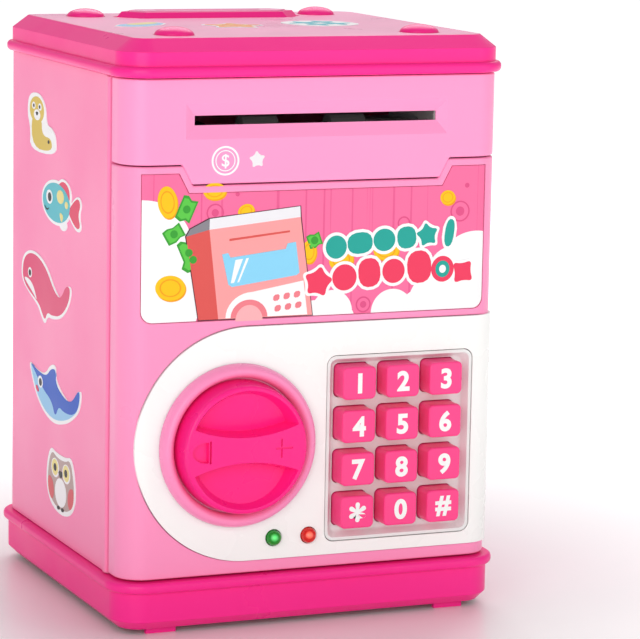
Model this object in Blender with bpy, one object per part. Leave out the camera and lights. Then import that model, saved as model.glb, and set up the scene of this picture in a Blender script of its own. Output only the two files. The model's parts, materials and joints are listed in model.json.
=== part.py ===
"""Toy safe coin bank: a moulded box on a base, with a note feeder, a coin slot and a keypad door.

Frame: metres, +Z up, the front faces -Y, and the origin is on the ground under the middle of the whole
thing, knob included. The dimensions below count from the middle of the box, which stands CENTRE_Y behind it.
"""

from math import cos, hypot, pi, radians, sin

import bmesh
import bpy
from mathutils import Matrix, Vector

MM = 0.001
GAP = 0.3 * MM  # between pieces that touch

# ---- the box: body, base and lid ----
BODY_W = 128 * MM
BODY_D = 122 * MM
CORNER_R = 9 * MM
WALL = 2.2 * MM
FRONT_Y = -BODY_D / 2
SIDE_X = BODY_W / 2
LIP_OUT = 3 * MM  # how far the lips of the base and the lid stand out
RIM_OUT = 1.3 * MM  # the same for the plain walls of the base and the lid

FOOT_H = 1.2 * MM
BASE_CHAMFER = 3.4 * MM
BASE_TOP = 17.3 * MM
LIP_H = 3.2 * MM
DECK_T = 2.2 * MM
SCREW_X = 50 * MM
SCREW_Y = 44 * MM
BOSS_R = 3.6 * MM
SCREW_R = 1.4 * MM

BODY_Z0 = BASE_TOP + GAP
BODY_Z1 = 175.2 * MM
LID_Z0 = 175.5 * MM
LID_WALL_TOP = 183.4 * MM
LID_TOP = 187.4 * MM
LID_SLOPE_IN = 5.2 * MM
PLATE_T = 1.6 * MM

STUD_R = 6.3 * MM
STUD_H = 2.6 * MM
STUD_X = 42 * MM
STUD_Y = 43 * MM
STUD_SIDES = 16

COIN_Y = 38 * MM
COIN_SLOT_L = 38 * MM
COIN_SLOT_W = 3.2 * MM
COIN_FRAME_L = 68 * MM
COIN_FRAME_D = 18 * MM
COIN_FRAME_H = 1.8 * MM

# ---- the front: door, upper panel and the stepped parting line between them ----
PARTING_Y = -47.4 * MM  # rear edge of both front pieces, on the two sides
SHELL_FRONT_Y = -46.6 * MM
PARTING_Z = 148.4 * MM
PARTING_GAP = 0.4 * MM
DIP_Z = 142.2 * MM
DIP_HALF_TOP = 45.3 * MM
DIP_HALF_LOW = 42 * MM
DOOR_Z0 = 17.9 * MM

HINGE_R = 2 * MM
HINGE_X = SIDE_X - HINGE_R
HINGE_Y = PARTING_Y - HINGE_R
PIN_R = 1.1 * MM
PIN_HOLE_R = 1.4 * MM

SLOT_Z0 = 160.6 * MM
SLOT_Z1 = 163.6 * MM
SLOT_HALF = 41 * MM
FUNNEL_HALF = 44.2 * MM
FUNNEL_Z0 = 157.4 * MM
FUNNEL_Z1 = 166.4 * MM

# ---- on the door ----
LABEL_HALF = 58.4 * MM
LABEL_Z0 = 99.6 * MM
LABEL_INSET = 2.6 * MM
LABEL_T = 0.4 * MM
LABEL_FLOOR = 0.9 * MM

PANEL_Z0 = 22 * MM
PANEL_Z1 = 97.2 * MM
PANEL_LEFT_X = -60.1 * MM
PANEL_PROUD = 0.8 * MM
PANEL_SINK = 0.9 * MM
PANEL_TURN = 82  # degrees of the right corner that the panel covers
LEDGE = 3 * MM

KNOB_X = -26.4 * MM
KNOB_Z = 59.6 * MM
RING_R_OUT = 26.2 * MM
RING_R_IN = 21.7 * MM
RING_H = 3.8 * MM
KNOB_R_BASE = 21.3 * MM
KNOB_R_FACE = 20 * MM
KNOB_FACE_Y = FRONT_Y - 9.6 * MM
CENTRE_Y = -(KNOB_FACE_Y + BODY_D / 2 + LIP_OUT) / 2
SCOOP_DEPTH = 5.2 * MM
SHAFT_R = 3.6 * MM
SHAFT_HOLE_R = 4 * MM

TRAY_X0 = 4.2 * MM
TRAY_X1 = 54.8 * MM
TRAY_Z0 = 26.3 * MM
TRAY_Z1 = 86.3 * MM
TRAY_DEPTH = 3 * MM
TRAY_T = 1 * MM
PANEL_FACE_Y = FRONT_Y - PANEL_PROUD
TRAY_FLOOR_Y = PANEL_FACE_Y + TRAY_DEPTH
KEY_W = 11.5 * MM
KEY_H = 10.6 * MM
KEY_PITCH_X = 15.1 * MM
KEY_PITCH_Z = 13.95 * MM
KEY_MID_X = 28.6 * MM
KEY_MID_Z = 57.05 * MM
KEY_PROUD = 7.5 * MM  # above the tray's floor
MAT_T = 1.3 * MM
BOARD_T = 1.2 * MM
KEY_NAMES = ("1", "2", "3", "4", "5", "6", "7", "8", "9", "star", "0", "hash")

LED_R = 2.5 * MM
LED_Z = 28.8 * MM
LED_X = {"led_green": -13.5 * MM, "led_red": -1.5 * MM}

BACK_T = 1.8 * MM
BACK_Y = PARTING_Y - BACK_T

# ---- behind the knob: lock and latch ----
LOCK_DISC_R = 11 * MM
LOCK_DISC_Y = -55.6 * MM
LOCK_DISC_T = 2.6 * MM
NOTCH_W = 4.2 * MM
NOTCH_DEPTH = 3.4 * MM
PAWL_TIP_X = KNOB_X + LOCK_DISC_R + 0.6 * MM
COIL_X0 = -8.5 * MM
COIL_X1 = 2.5 * MM
COIL_Y = -54.6 * MM
COIL_HALF_D = 4.6 * MM
COIL_HALF_H = 7 * MM
TONGUE_L = 33 * MM
TONGUE_W = 9 * MM
TONGUE_T = 2 * MM
TONGUE_Y = -43 * MM
STRIKE_W = 7 * MM
STRIKE_T = 2 * MM

# ---- the note feeder ----
FEED_Y = -46 * MM
NIP_Z = (SLOT_Z0 + SLOT_Z1) / 2
ROLLER_R = 4 * MM
PINCH_R = 3.5 * MM
NIP_GAP = 0.3 * MM
FEED_Z = NIP_Z - NIP_GAP / 2 - ROLLER_R
PINCH_Z = NIP_Z + NIP_GAP / 2 + PINCH_R
ROLLER_L = 12 * MM
ROLLER_X = 15 * MM
GEAR_MODULE = 0.6 * MM
GEAR_TEETH = 26
PINION_TEETH = 12
GEAR_X0 = 48 * MM
GEAR_T = 3 * MM
MOTOR_DROP = 3 * MM
GEAR_SPACING = GEAR_MODULE * (GEAR_TEETH + PINION_TEETH) / 2
MOTOR_Y = FEED_Y + (GEAR_SPACING**2 - MOTOR_DROP**2) ** 0.5
MOTOR_Z = FEED_Z - MOTOR_DROP
HOUSING_HALF = 46 * MM
HOUSING_Z0 = 150.4 * MM
HOUSING_Z1 = 172 * MM
HOUSING_Y0 = -58.4 * MM
HOUSING_Y1 = -16 * MM

# ---- at the back: battery case and speaker ----
CELL_R = 7.1 * MM
CELL_L = 50 * MM
CELL_PITCH = 15.4 * MM
CELL_Z = 36 * MM
BAY_HALF_W = 32 * MM
BAY_Z0 = 25 * MM
BAY_Z1 = 78 * MM
BAY_DEPTH = 17.6 * MM
SPEAKER_R = 18 * MM
SPEAKER_Z = 132 * MM
GRILLE_HOLE_R = 1.3 * MM
GRILLE_PITCH = 5.2 * MM

COLOURS = {
    "light_pink": ((1.0, 0.36, 0.60), 0.35, 0.0),
    "hot_pink": ((1.0, 0.04, 0.27), 0.3, 0.0),
    "white": ((0.95, 0.95, 0.93), 0.35, 0.0),
    "grey": ((0.62, 0.56, 0.56), 0.45, 0.0),
    "print": ((1.0, 0.30, 0.45), 0.3, 0.0),
    "green_lens": ((0.02, 0.5, 0.05), 0.15, 0.0),
    "red_lens": ((0.8, 0.04, 0.02), 0.15, 0.0),
    "steel": ((0.7, 0.7, 0.72), 0.3, 1.0),
    "rubber": ((0.05, 0.05, 0.05), 0.8, 0.0),
    "board": ((0.03, 0.22, 0.08), 0.5, 0.0),
    "dark_plastic": ((0.1, 0.1, 0.11), 0.5, 0.0),
    "cell_wrap": ((0.75, 0.5, 0.12), 0.35, 0.6),
}


# ---- materials, outlines and solids ----
def material(name):
    """The plastic, metal or rubber called name, made once."""
    if name in bpy.data.materials:
        return bpy.data.materials[name]
    colour, roughness, metallic = COLOURS[name]
    made = bpy.data.materials.new(name)
    made.use_nodes = True
    shader = made.node_tree.nodes["Principled BSDF"]
    shader.inputs["Base Color"].default_value = (*colour, 1)
    shader.inputs["Roughness"].default_value = roughness
    shader.inputs["Metallic"].default_value = metallic
    return made


def arc(x, y, radius, start, end, steps):
    """Points on an arc, from start to end in degrees."""
    turns = [radians(start + (end - start) * i / steps) for i in range(steps + 1)]
    return [(x + radius * cos(t), y + radius * sin(t)) for t in turns]


def rounded(width, height, radius, steps=4, x=0.0, y=0.0):
    """A rounded rectangle around x, y, counter-clockwise."""
    a, b = width / 2 - radius, height / 2 - radius
    corners = ((a, b, 0), (-a, b, 90), (-a, -b, 180), (a, -b, 270))
    return [p for cx, cy, t in corners for p in arc(x + cx, y + cy, radius, t, t + 90, steps)]


def circle(radius, steps, x=0.0, y=0.0):
    """A circle's points around x, y."""
    return arc(x, y, radius, 0, 360, steps)[:-1]


def point(across, level, axis):
    """An outline point (u, v) at a level along axis: XY outlines along Z, XZ along Y and YZ along X."""
    u, v = across
    return {"Z": (u, v, level), "Y": (u, level, v), "X": (level, u, v)}[axis]


def make(name, bm, finish, smooth=30):
    """An object from a bmesh, with its normals out and its curved faces smooth."""
    bmesh.ops.recalc_face_normals(bm, faces=bm.faces)
    mesh = bpy.data.meshes.new(name)
    bm.to_mesh(mesh)
    bm.free()
    mesh.shade_smooth()
    mesh.set_sharp_from_angle(angle=radians(smooth))
    mesh.materials.append(material(finish))
    made = bpy.data.objects.new(name, mesh)
    bpy.context.collection.objects.link(made)
    return made


def loft(name, rings, finish, axis="Z", hollow=False):
    """A skin through rings of (outline, level). It is capped, or hollow where its ends meet."""
    bm = bmesh.new()
    loops = [[bm.verts.new(point(p, level, axis)) for p in outline] for outline, level in rings]
    count = len(loops[0])
    pairs = list(zip(loops, loops[1:] + loops[:1]))
    for low, high in pairs if hollow else pairs[:-1]:
        for i in range(count):
            j = (i + 1) % count
            bm.faces.new((low[i], low[j], high[j], high[i]))
    if not hollow:
        bm.faces.new(loops[0])
        bm.faces.new(loops[-1])
    return make(name, bm, finish)


def prism(name, outlines, low, high, finish, axis="Z"):
    """One or more outlines extruded from low to high along axis."""
    bm = bmesh.new()
    for outline in outlines:
        bottom = [bm.verts.new(point(p, low, axis)) for p in outline]
        top = [bm.verts.new(point(p, high, axis)) for p in outline]
        bm.faces.new(bottom)
        bm.faces.new(top)
        for i in range(len(outline)):
            j = (i + 1) % len(outline)
            bm.faces.new((bottom[i], bottom[j], top[j], top[i]))
    return make(name, bm, finish)


def turned(name, profile, centre, finish, axis="Y", steps=32, hollow=False):
    """A lathed solid: profile is (radius, level) along axis through centre, its other two coordinates."""
    rings = [(circle(r, steps, *centre), level) for r, level in profile]
    return loft(name, rings, finish, axis, hollow)


def box(name, low, high, finish):
    """A plain block between two corners."""
    (x0, y0, z0), (x1, y1, z1) = low, high
    return prism(name, [[(x0, y0), (x1, y0), (x1, y1), (x0, y1)]], z0, z1, finish)


def combine(target, tool, how):
    """Cut tool from target, unite them or keep what they share. The tool becomes a hidden guide."""
    boolean = target.modifiers.new(tool.name, "BOOLEAN")
    boolean.operation = how
    boolean.object = tool
    tool.name = f"guide_{tool.name}"
    tool.hide_render = True
    tool.display_type = "WIRE"
    return target


def cut(target, *tools):
    for tool in tools:
        combine(target, tool, "DIFFERENCE")
    return target


def unite(target, *tools):
    for tool in tools:
        combine(target, tool, "UNION")
    return target


def joint(name, location, parent=None):
    """An empty on a joint's axis, which the pieces that move with it hang from."""
    empty = bpy.data.objects.new(name, None)
    empty.empty_display_size = 0.01
    bpy.context.collection.objects.link(empty)
    attach(empty, parent, location)
    return empty


def origin_of(empty):
    """Where an empty or object stands in the world; nothing here is turned."""
    return empty.location + origin_of(empty.parent) if empty else Vector((0, 0, 0))


def attach(child, parent, location=(0, 0, 0)):
    """Hang child from parent, with the child's origin at a world location."""
    child.parent = parent
    child.location = Vector(location) - origin_of(parent)


def hang(parent, *pieces):
    """Move each piece's origin to its joint, leaving its mesh where it is, and hang it there."""
    place = origin_of(parent)
    for piece in pieces:
        piece.data.transform(Matrix.Translation(-place))
        attach(piece, parent, place)


# ---- the front's wrapped outline, shared by the upper panel, door, label and control panel ----
def wrap(offset, side_y=PARTING_Y, turn=90, steps=6):
    """The front from above, offset outwards: from the left side, across, and turn degrees round the right."""
    x, y, r = SIDE_X - CORNER_R, FRONT_Y + CORNER_R, CORNER_R + offset
    left = [(-SIDE_X - offset, side_y)] + arc(-x, y, r, 180, 270, steps)
    right = arc(x, y, r, 270, 270 + turn, steps)
    if turn == 90:
        right.append((SIDE_X + offset, side_y))
    return left + right


def skin(name, outer, inner, low, high, finish, side_y=PARTING_Y, turn=90):
    """A band of the front between two offsets."""
    outline = wrap(outer, side_y, turn) + wrap(inner, side_y, turn)[::-1]
    return prism(name, [outline], low, high, finish)


def mould(name, outline, finish="light_pink"):
    """A tool or piece as deep as the box, from an XZ outline."""
    return prism(name, [outline], -0.1, 0.0, finish, "Y")


def shoulders(top, low, inset=0.0):
    """The stepped line across the door's top, left to right, inset all round."""
    slope = (PARTING_Z - DIP_Z) / (DIP_HALF_TOP - DIP_HALF_LOW)
    shift = inset * (hypot(1, slope) - 1) / slope
    high, dip = top - inset, top - inset - (PARTING_Z - DIP_Z)
    a, b = DIP_HALF_TOP + shift, DIP_HALF_LOW + shift
    return [(low[0], high), (-a, high), (-b, dip), (b, dip), (a, high), (low[1], high)]


def build_case():
    """The body shell, with its front flanges, battery opening and speaker grille."""
    x, y, r = SIDE_X, BODY_D / 2, CORNER_R
    outer = [(x, SHELL_FRONT_Y)] + arc(x - r, y - r, r, 0, 90, 5) + arc(r - x, y - r, r, 90, 180, 5)
    outer += [(-x, SHELL_FRONT_Y)]
    flange_y = SHELL_FRONT_Y + STRIKE_T
    flange_x = x - WALL - STRIKE_W
    inner_r = r - WALL
    inner = [(-flange_x, SHELL_FRONT_Y), (-flange_x, flange_y), (WALL - x, flange_y)]
    inner += arc(r - x, y - r, inner_r, 180, 90, 5) + arc(x - r, y - r, inner_r, 90, 0, 5)
    inner += [(x - WALL, flange_y), (flange_x, flange_y), (flange_x, SHELL_FRONT_Y)]
    shell = prism("body_shell", [outer + inner], BODY_Z0, BODY_Z1, "light_pink")

    door_w, door_h = 2 * BAY_HALF_W - 6 * MM, BAY_Z1 - BAY_Z0 - 6 * MM
    opening = rounded(door_w, door_h, 2 * MM, 3, 0, (BAY_Z0 + BAY_Z1) / 2)
    step = rounded(door_w + 4 * MM, door_h + 4 * MM, 3 * MM, 3, 0, (BAY_Z0 + BAY_Z1) / 2)
    holes = []
    for row in range(-3, 4):
        count = 7 - abs(row)
        for i in range(count):
            hole_x = (i - (count - 1) / 2) * GRILLE_PITCH
            holes.append(circle(GRILLE_HOLE_R, 6, hole_x, SPEAKER_Z + row * GRILLE_PITCH * 0.866))
    return cut(
        shell,
        prism("battery_opening", [opening], y - 5 * MM, y + 1 * MM, "light_pink", "Y"),
        prism("battery_step", [step], y - 1.2 * MM, y + 1 * MM, "light_pink", "Y"),
        prism("speaker_grille", holes, y - 5 * MM, y + 1 * MM, "light_pink", "Y"),
    )


def box_ring(out, level):
    """The box's plan, grown outwards by out, for lofting the base and the lid."""
    return rounded(BODY_W + 2 * out, BODY_D + 2 * out, CORNER_R + out, 3), level


def build_base():
    """The base: a tray turned over, with a rolled lip, feet, screw bosses and the lower hinge socket."""
    low = BASE_TOP - LIP_H
    roll = [(LIP_OUT * 0.55, BASE_TOP), (LIP_OUT * 0.88, BASE_TOP - 0.5 * MM)]
    roll += [(LIP_OUT, BASE_TOP - 1.3 * MM), (LIP_OUT * 0.9, low + 0.7 * MM)]
    roll += [(RIM_OUT + 0.4 * MM, low), (RIM_OUT, low - 0.3 * MM)]
    wall = [(RIM_OUT, FOOT_H + BASE_CHAMFER), (RIM_OUT - BASE_CHAMFER, FOOT_H)]
    inside = [(RIM_OUT - BASE_CHAMFER - WALL, FOOT_H), (RIM_OUT - WALL, FOOT_H + BASE_CHAMFER)]
    inside += [(RIM_OUT - WALL, BASE_TOP - DECK_T)]
    base = loft("base_tray", [box_ring(*p) for p in roll + wall + inside], "hot_pink")

    feet = []
    bosses = []
    pilots = []
    for sx in (-1, 1):
        for sy in (-1, 1):
            foot_x, foot_y = sx * (SIDE_X - 14 * MM), sy * (BODY_D / 2 - 3.6 * MM)
            feet.append(rounded(10 * MM, 1.8 * MM, 0.8 * MM, 2, foot_x, foot_y))
            bosses.append(circle(BOSS_R, 12, sx * SCREW_X, sy * SCREW_Y))
            pilots.append(circle(SCREW_R + GAP, 10, sx * SCREW_X, sy * SCREW_Y))
    boss_z = 6 * MM
    top = BASE_TOP - DECK_T / 2
    socket = circle(HINGE_R + 0.6 * MM, 12, HINGE_X, HINGE_Y)
    unite(
        base,
        prism("feet", feet, 0, FOOT_H + 0.5 * MM, "hot_pink"),
        prism("screw_bosses", bosses, boss_z, top, "hot_pink"),
        prism("hinge_boss", [socket], 10 * MM, top, "hot_pink"),
    )
    return cut(
        base,
        prism("screw_pilots", pilots, 0, 0.03, "hot_pink"),
        prism("hinge_socket", [circle(PIN_HOLE_R, 12, HINGE_X, HINGE_Y)], 11.5 * MM, 0.03, "hot_pink"),
    )


def build_base_screws():
    """Four pan-head screws, driven up through the base's bosses."""
    for i, (sx, sy) in enumerate(((-1, -1), (1, -1), (1, 1), (-1, 1)), start=1):
        head = [(2.2 * MM, 3.9 * MM), (2.9 * MM, 4.3 * MM), (2.9 * MM, 5.7 * MM)]
        shank = [(SCREW_R, 5.7 * MM), (SCREW_R, 20 * MM), (0.4 * MM, 21.5 * MM)]
        turned(f"base_screw_{i}", head + shank, (sx * SCREW_X, sy * SCREW_Y), "steel", "Z", 12)


def build_lid():
    """The lid: a hot pink frame with a light top plate let into it, four studs and the coin slot."""
    low, top = LID_Z0, LID_Z0 + LIP_H + 0.3 * MM
    slope_out = RIM_OUT - LID_SLOPE_IN
    ledge = LID_TOP - PLATE_T - GAP
    outside = [(LIP_OUT * 0.55, low), (LIP_OUT * 0.9, low + 0.5 * MM), (LIP_OUT, low + 1.4 * MM)]
    outside += [(LIP_OUT * 0.88, top - 0.7 * MM), (RIM_OUT + 0.4 * MM, top), (RIM_OUT, top + 0.3 * MM)]
    outside += [(RIM_OUT, LID_WALL_TOP - 0.5 * MM), (RIM_OUT - 0.4 * MM, LID_WALL_TOP)]
    outside += [(slope_out, LID_TOP), (slope_out - 1.0 * MM, LID_TOP), (slope_out - 1.0 * MM, ledge)]
    under = [(slope_out, ledge - WALL), (RIM_OUT - WALL, LID_WALL_TOP - WALL), (RIM_OUT - WALL, low)]
    deck = loft("lid_frame", [box_ring(*p) for p in outside], "hot_pink")
    hollow = loft("lid_hollow", [box_ring(*p) for p in under + [(RIM_OUT - WALL, low - MM)]], "hot_pink")

    slot = rounded(COIN_SLOT_L, COIN_SLOT_W, 1.2 * MM, 3, 0, COIN_Y)
    studs = bmesh.new()
    for sx in (-1, 1):
        for sy in (-1, 1):
            place = (sx * STUD_X, sy * STUD_Y)
            rings = [(STUD_R, ledge - MM)]
            rings += [
                (STUD_R * cos(t), LID_TOP - 0.2 * MM + (STUD_H + 0.2 * MM) * sin(t))
                for t in (radians(25 * i) for i in range(4))
            ]
            loops = [[studs.verts.new((*p, z)) for p in circle(r, STUD_SIDES, *place)] for r, z in rings]
            for under_ring, over_ring in zip(loops, loops[1:]):
                for i in range(STUD_SIDES):
                    j = (i + 1) % STUD_SIDES
                    studs.faces.new((under_ring[i], under_ring[j], over_ring[j], over_ring[i]))
            studs.faces.new(loops[0])
            studs.faces.new(loops[-1])
    cut(deck, hollow)
    unite(deck, make("lid_studs", studs, "hot_pink"))
    cut(deck, prism("lid_coin_slot", [slot], 0.17, 0.2, "hot_pink"))

    plate_out = slope_out - 1.0 * MM - GAP
    plate = loft(
        "top_plate",
        [box_ring(plate_out, LID_TOP - PLATE_T), box_ring(plate_out, LID_TOP - 0.3 * MM),
         box_ring(plate_out - 0.3 * MM, LID_TOP)],
        "light_pink",
    )
    clear = [circle(STUD_R + GAP, STUD_SIDES, x, y) for x in (-STUD_X, STUD_X) for y in (-STUD_Y, STUD_Y)]
    seat = hexagon(COIN_FRAME_L + 2 * GAP, COIN_FRAME_D + 2 * GAP)
    cut(
        plate,
        prism("stud_holes", clear, 0.18, 0.2, "light_pink"),
        prism("coin_seat", [seat], 0.18, 0.2, "light_pink"),
    )

    frame_low = ledge + GAP
    frame_top = LID_TOP + COIN_FRAME_H
    inner = hexagon(COIN_FRAME_L - 10 * MM, COIN_FRAME_D - 7 * MM)
    frame = loft(
        "coin_slot_frame",
        [(hexagon(COIN_FRAME_L, COIN_FRAME_D), frame_low),
         (hexagon(COIN_FRAME_L, COIN_FRAME_D), LID_TOP + 0.2 * MM),
         (hexagon(COIN_FRAME_L - 6 * MM, COIN_FRAME_D - 4 * MM), frame_top),
         (inner, frame_top), (inner, frame_low)],
        "hot_pink",
        hollow=True,
    )
    cover = loft(
        "coin_slot_plate",
        [(hexagon(COIN_FRAME_L - 10.6 * MM, COIN_FRAME_D - 7.6 * MM), frame_low),
         (hexagon(COIN_FRAME_L - 10.6 * MM, COIN_FRAME_D - 7.6 * MM), frame_top + 0.1 * MM),
         (hexagon(COIN_FRAME_L - 11.4 * MM, COIN_FRAME_D - 8.4 * MM), frame_top + 0.4 * MM)],
        "light_pink",
    )
    cut(cover, prism("cover_coin_slot", [slot], 0.17, 0.2, "light_pink"))
    return deck, plate, frame, cover


def hexagon(length, depth):
    """The coin slot surround's plan: a long strip with pointed ends, around the slot."""
    a, b = length / 2, depth / 2
    tip = min(b * 0.8, 7 * MM)
    ends = ((a, 0), (a - tip, b), (tip - a, b), (-a, 0), (tip - a, -b), (a - tip, -b))
    return [(x, COIN_Y + y) for x, y in ends]


def build_upper_panel():
    """The fixed panel above the door, with the note slot in its funnel and the upper hinge socket."""
    low = DIP_Z - 1 * MM
    panel = skin("upper_front_panel", 0, -WALL, low, BODY_Z1, "light_pink")
    side = 0.08
    edge = shoulders(PARTING_Z + PARTING_GAP / 2, (-side, side))
    boss = circle(HINGE_R, 16, HINGE_X, HINGE_Y)
    boss_low = PARTING_Z + PARTING_GAP / 2
    funnel = loft(
        "note_funnel",
        [(rounded(2 * FUNNEL_HALF, FUNNEL_Z1 - FUNNEL_Z0, 0.8 * MM, 2, 0, (FUNNEL_Z0 + FUNNEL_Z1) / 2),
          FRONT_Y - 0.01 * MM),
         (rounded(2 * SLOT_HALF + 1.6 * MM, SLOT_Z1 - SLOT_Z0 + 1.6 * MM, 0.4 * MM, 2, 0, NIP_Z),
          FRONT_Y + 1.5 * MM)],
        "light_pink",
        "Y",
    )
    slot = rounded(2 * SLOT_HALF, SLOT_Z1 - SLOT_Z0, 0.3 * MM, 2, 0, NIP_Z)
    pin_hole = circle(PIN_HOLE_R, 12, HINGE_X, HINGE_Y)
    unite(panel, prism("upper_hinge_boss", [boss], boss_low, boss_low + 9 * MM, "light_pink"))
    return cut(
        panel,
        mould("door_clearance", [(side, 0.1), (-side, 0.1)][::-1] + edge[::-1]),
        funnel,
        prism("note_slot", [slot], FRONT_Y - MM, FRONT_Y + 4 * MM, "light_pink", "Y"),
        prism("upper_hinge_socket", [pin_hole], 0.14, boss_low + 8 * MM, "light_pink"),
    )


def control_outline(inset=0.0, right=0.08):
    """The white panel seen from the front: a big arc on the left, and square at the right."""
    r = (PANEL_Z1 - PANEL_Z0) / 2
    mid = (PANEL_Z0 + PANEL_Z1) / 2
    bulge = arc(PANEL_LEFT_X + r, mid, r - inset, 90, 270, 20)
    return bulge + [(right, PANEL_Z0 + inset), (right, PANEL_Z1 - inset)]


def build_door():
    """The door's front moulding: a wrapped box, open at the back, that rolls around its hinge."""
    outline = wrap(0)[:-1] + arc(HINGE_X, HINGE_Y, HINGE_R, 0, 90, 4)
    door = prism("door_panel", [outline], DOOR_Z0, PARTING_Z, "light_pink")
    side = 0.08
    edge = shoulders(PARTING_Z - PARTING_GAP / 2, (-side, side))
    inner_left = WALL - SIDE_X
    inner_right = HINGE_X - HINGE_R - 0.2 * MM
    inner_y = FRONT_Y + WALL
    cavity = arc(inner_left + 7 * MM, inner_y + 7 * MM, 7 * MM, 180, 270, 4)
    cavity += arc(inner_right - 5 * MM, inner_y + 5 * MM, 5 * MM, 270, 360, 4)
    cavity += [(inner_right, 0), (inner_left, 0)]
    hollow_top = DIP_Z - 2.4 * MM
    label = label_outline(-0.25 * MM)
    recess = skin("panel_recess", 5 * MM, -PANEL_SINK - GAP, PANEL_Z0 - MM, PANEL_Z1 + MM, "light_pink",
                  turn=PANEL_TURN + 2)
    combine(recess, mould("panel_recess_outline", control_outline(-GAP)), "INTERSECT")
    label_recess = skin("label_recess", 5 * MM, -LABEL_FLOOR, LABEL_Z0 - 2 * MM, PARTING_Z, "light_pink")
    combine(label_recess, mould("label_recess_outline", label), "INTERSECT")
    window = control_outline(LEDGE, TRAY_X1 + 1.2 * MM)
    pins = [circle(PIN_HOLE_R, 12, HINGE_X, HINGE_Y)]
    cut(
        door,
        mould("door_top", edge + [(side, 0.2), (-side, 0.2)]),
        prism("door_hollow", [cavity], DOOR_Z0 + WALL, hollow_top, "light_pink"),
        recess,
        label_recess,
        prism("panel_window", [window], -0.1, inner_y + MM, "light_pink", "Y"),
        prism("pin_hole_top", pins, PARTING_Z - 9 * MM, 0.16, "light_pink"),
        prism("pin_hole_low", pins, 0.01, DOOR_Z0 + 8 * MM, "light_pink"),
    )
    return door


def label_outline(inset=0.0):
    """The printed label from the front: the door's stepped top, and rounded lower corners."""
    half = LABEL_HALF - inset
    r = 3.5 * MM
    low = LABEL_Z0 + inset
    top = shoulders(PARTING_Z, (-half, half), LABEL_INSET + inset)
    left = arc(-half + r, low + r, r, 270, 180, 4)
    right = arc(half - r, low + r, r, 0, -90, 4)
    return left + top + right


def build_label():
    """The printed label, let into the door's front."""
    low = GAP - LABEL_FLOOR
    label = skin("door_label", low + LABEL_T, low, LABEL_Z0 - MM, PARTING_Z, "print")
    return combine(label, mould("label_shape", label_outline()), "INTERSECT")


def build_control_panel():
    """The white control panel, wrapped round the right corner, with its knob, keypad and lamp holes."""
    low, high = PANEL_Z0 - MM, PANEL_Z1 + MM
    panel = skin("control_panel", PANEL_PROUD, -PANEL_SINK, low, high, "white", turn=PANEL_TURN)
    combine(panel, mould("panel_shape", control_outline()), "INTERSECT")
    holes = [circle(SHAFT_HOLE_R, 20, KNOB_X, KNOB_Z)]
    holes += [circle(LED_R + GAP, 16, x, LED_Z) for x in LED_X.values()]
    holes.append(tray_outline(GAP))
    return cut(panel, prism("panel_holes", holes, -0.08, -0.05, "white", "Y"))


def tray_outline(out=0.0):
    """The keypad tray's rim, from the front."""
    mid = ((TRAY_X0 + TRAY_X1) / 2, (TRAY_Z0 + TRAY_Z1) / 2)
    return rounded(TRAY_X1 - TRAY_X0 + 2 * out, TRAY_Z1 - TRAY_Z0 + 2 * out, 3 * MM + out, 4, *mid)


def key_places():
    """The keys' centres in XZ, left to right and top to bottom."""
    for row in range(4):
        for column in range(3):
            yield KEY_MID_X + (column - 1) * KEY_PITCH_X, KEY_MID_Z + (1.5 - row) * KEY_PITCH_Z


def build_tray():
    """The grey dish that the keys stand in."""
    back = TRAY_FLOOR_Y + TRAY_T
    tray = loft(
        "keypad_tray",
        [(tray_outline(), back), (tray_outline(), PANEL_FACE_Y + 0.2 * MM),
         (tray_outline(-0.7 * MM), PANEL_FACE_Y + 0.2 * MM), (tray_outline(-2.6 * MM), TRAY_FLOOR_Y)],
        "grey",
        "Y",
    )
    holes = [rounded(KEY_W + 2 * GAP, KEY_H + 2 * GAP, 1.8 * MM, 2, x, z) for x, z in key_places()]
    return cut(tray, prism("key_holes", holes, TRAY_FLOOR_Y - MM, back + MM, "grey", "Y"))


def build_keys(door):
    """Twelve keys with a flange behind the tray, each on its own joint. They share one mesh."""
    back = TRAY_FLOOR_Y + TRAY_T + GAP
    face = TRAY_FLOOR_Y - KEY_PROUD
    flange = 1.2 * MM
    stem = rounded(KEY_W, KEY_H, 1.6 * MM, 2)
    rings = [
        (rounded(KEY_W + flange, KEY_H + flange, 1.6 * MM, 2), 0.8 * MM),
        (rounded(KEY_W + flange, KEY_H + flange, 1.6 * MM, 2), 0),
        (stem, 0),
        (stem, face - back + 0.7 * MM),
        (rounded(KEY_W - 1.4 * MM, KEY_H - 1.4 * MM, 1.2 * MM, 2), face - back),
    ]
    first = loft("key_1", rings, "hot_pink", "Y")
    for name, (x, z) in zip(KEY_NAMES, key_places()):
        key = first if name == "1" else bpy.data.objects.new(f"key_{name}", first.data)
        if key is not first:
            bpy.context.collection.objects.link(key)
        attach(key, door, (x, back, z))


def build_key_mat():
    """The rubber mat with a low dome behind each key, and the board it lies on."""
    behind = TRAY_FLOOR_Y + TRAY_T + GAP + 0.8 * MM + 1.2 * MM + GAP
    dome = 0.4 * MM
    mid = (KEY_MID_X, KEY_MID_Z)
    sheet = rounded(45 * MM, 55 * MM, 2 * MM, 3, *mid)
    mat = prism("key_mat", [sheet], behind + dome, behind + MAT_T, "rubber", "Y")
    domes = [circle(3 * MM, 8, x, z) for x, z in key_places()]
    unite(mat, prism("mat_domes", domes, behind, behind + MM, "rubber", "Y"))
    board_y = behind + MAT_T + GAP
    plan = rounded(47 * MM, 58 * MM, 1 * MM, 2, *mid)
    board = prism("keypad_board", [plan], board_y, board_y + BOARD_T, "board", "Y")
    return mat, board


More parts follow.
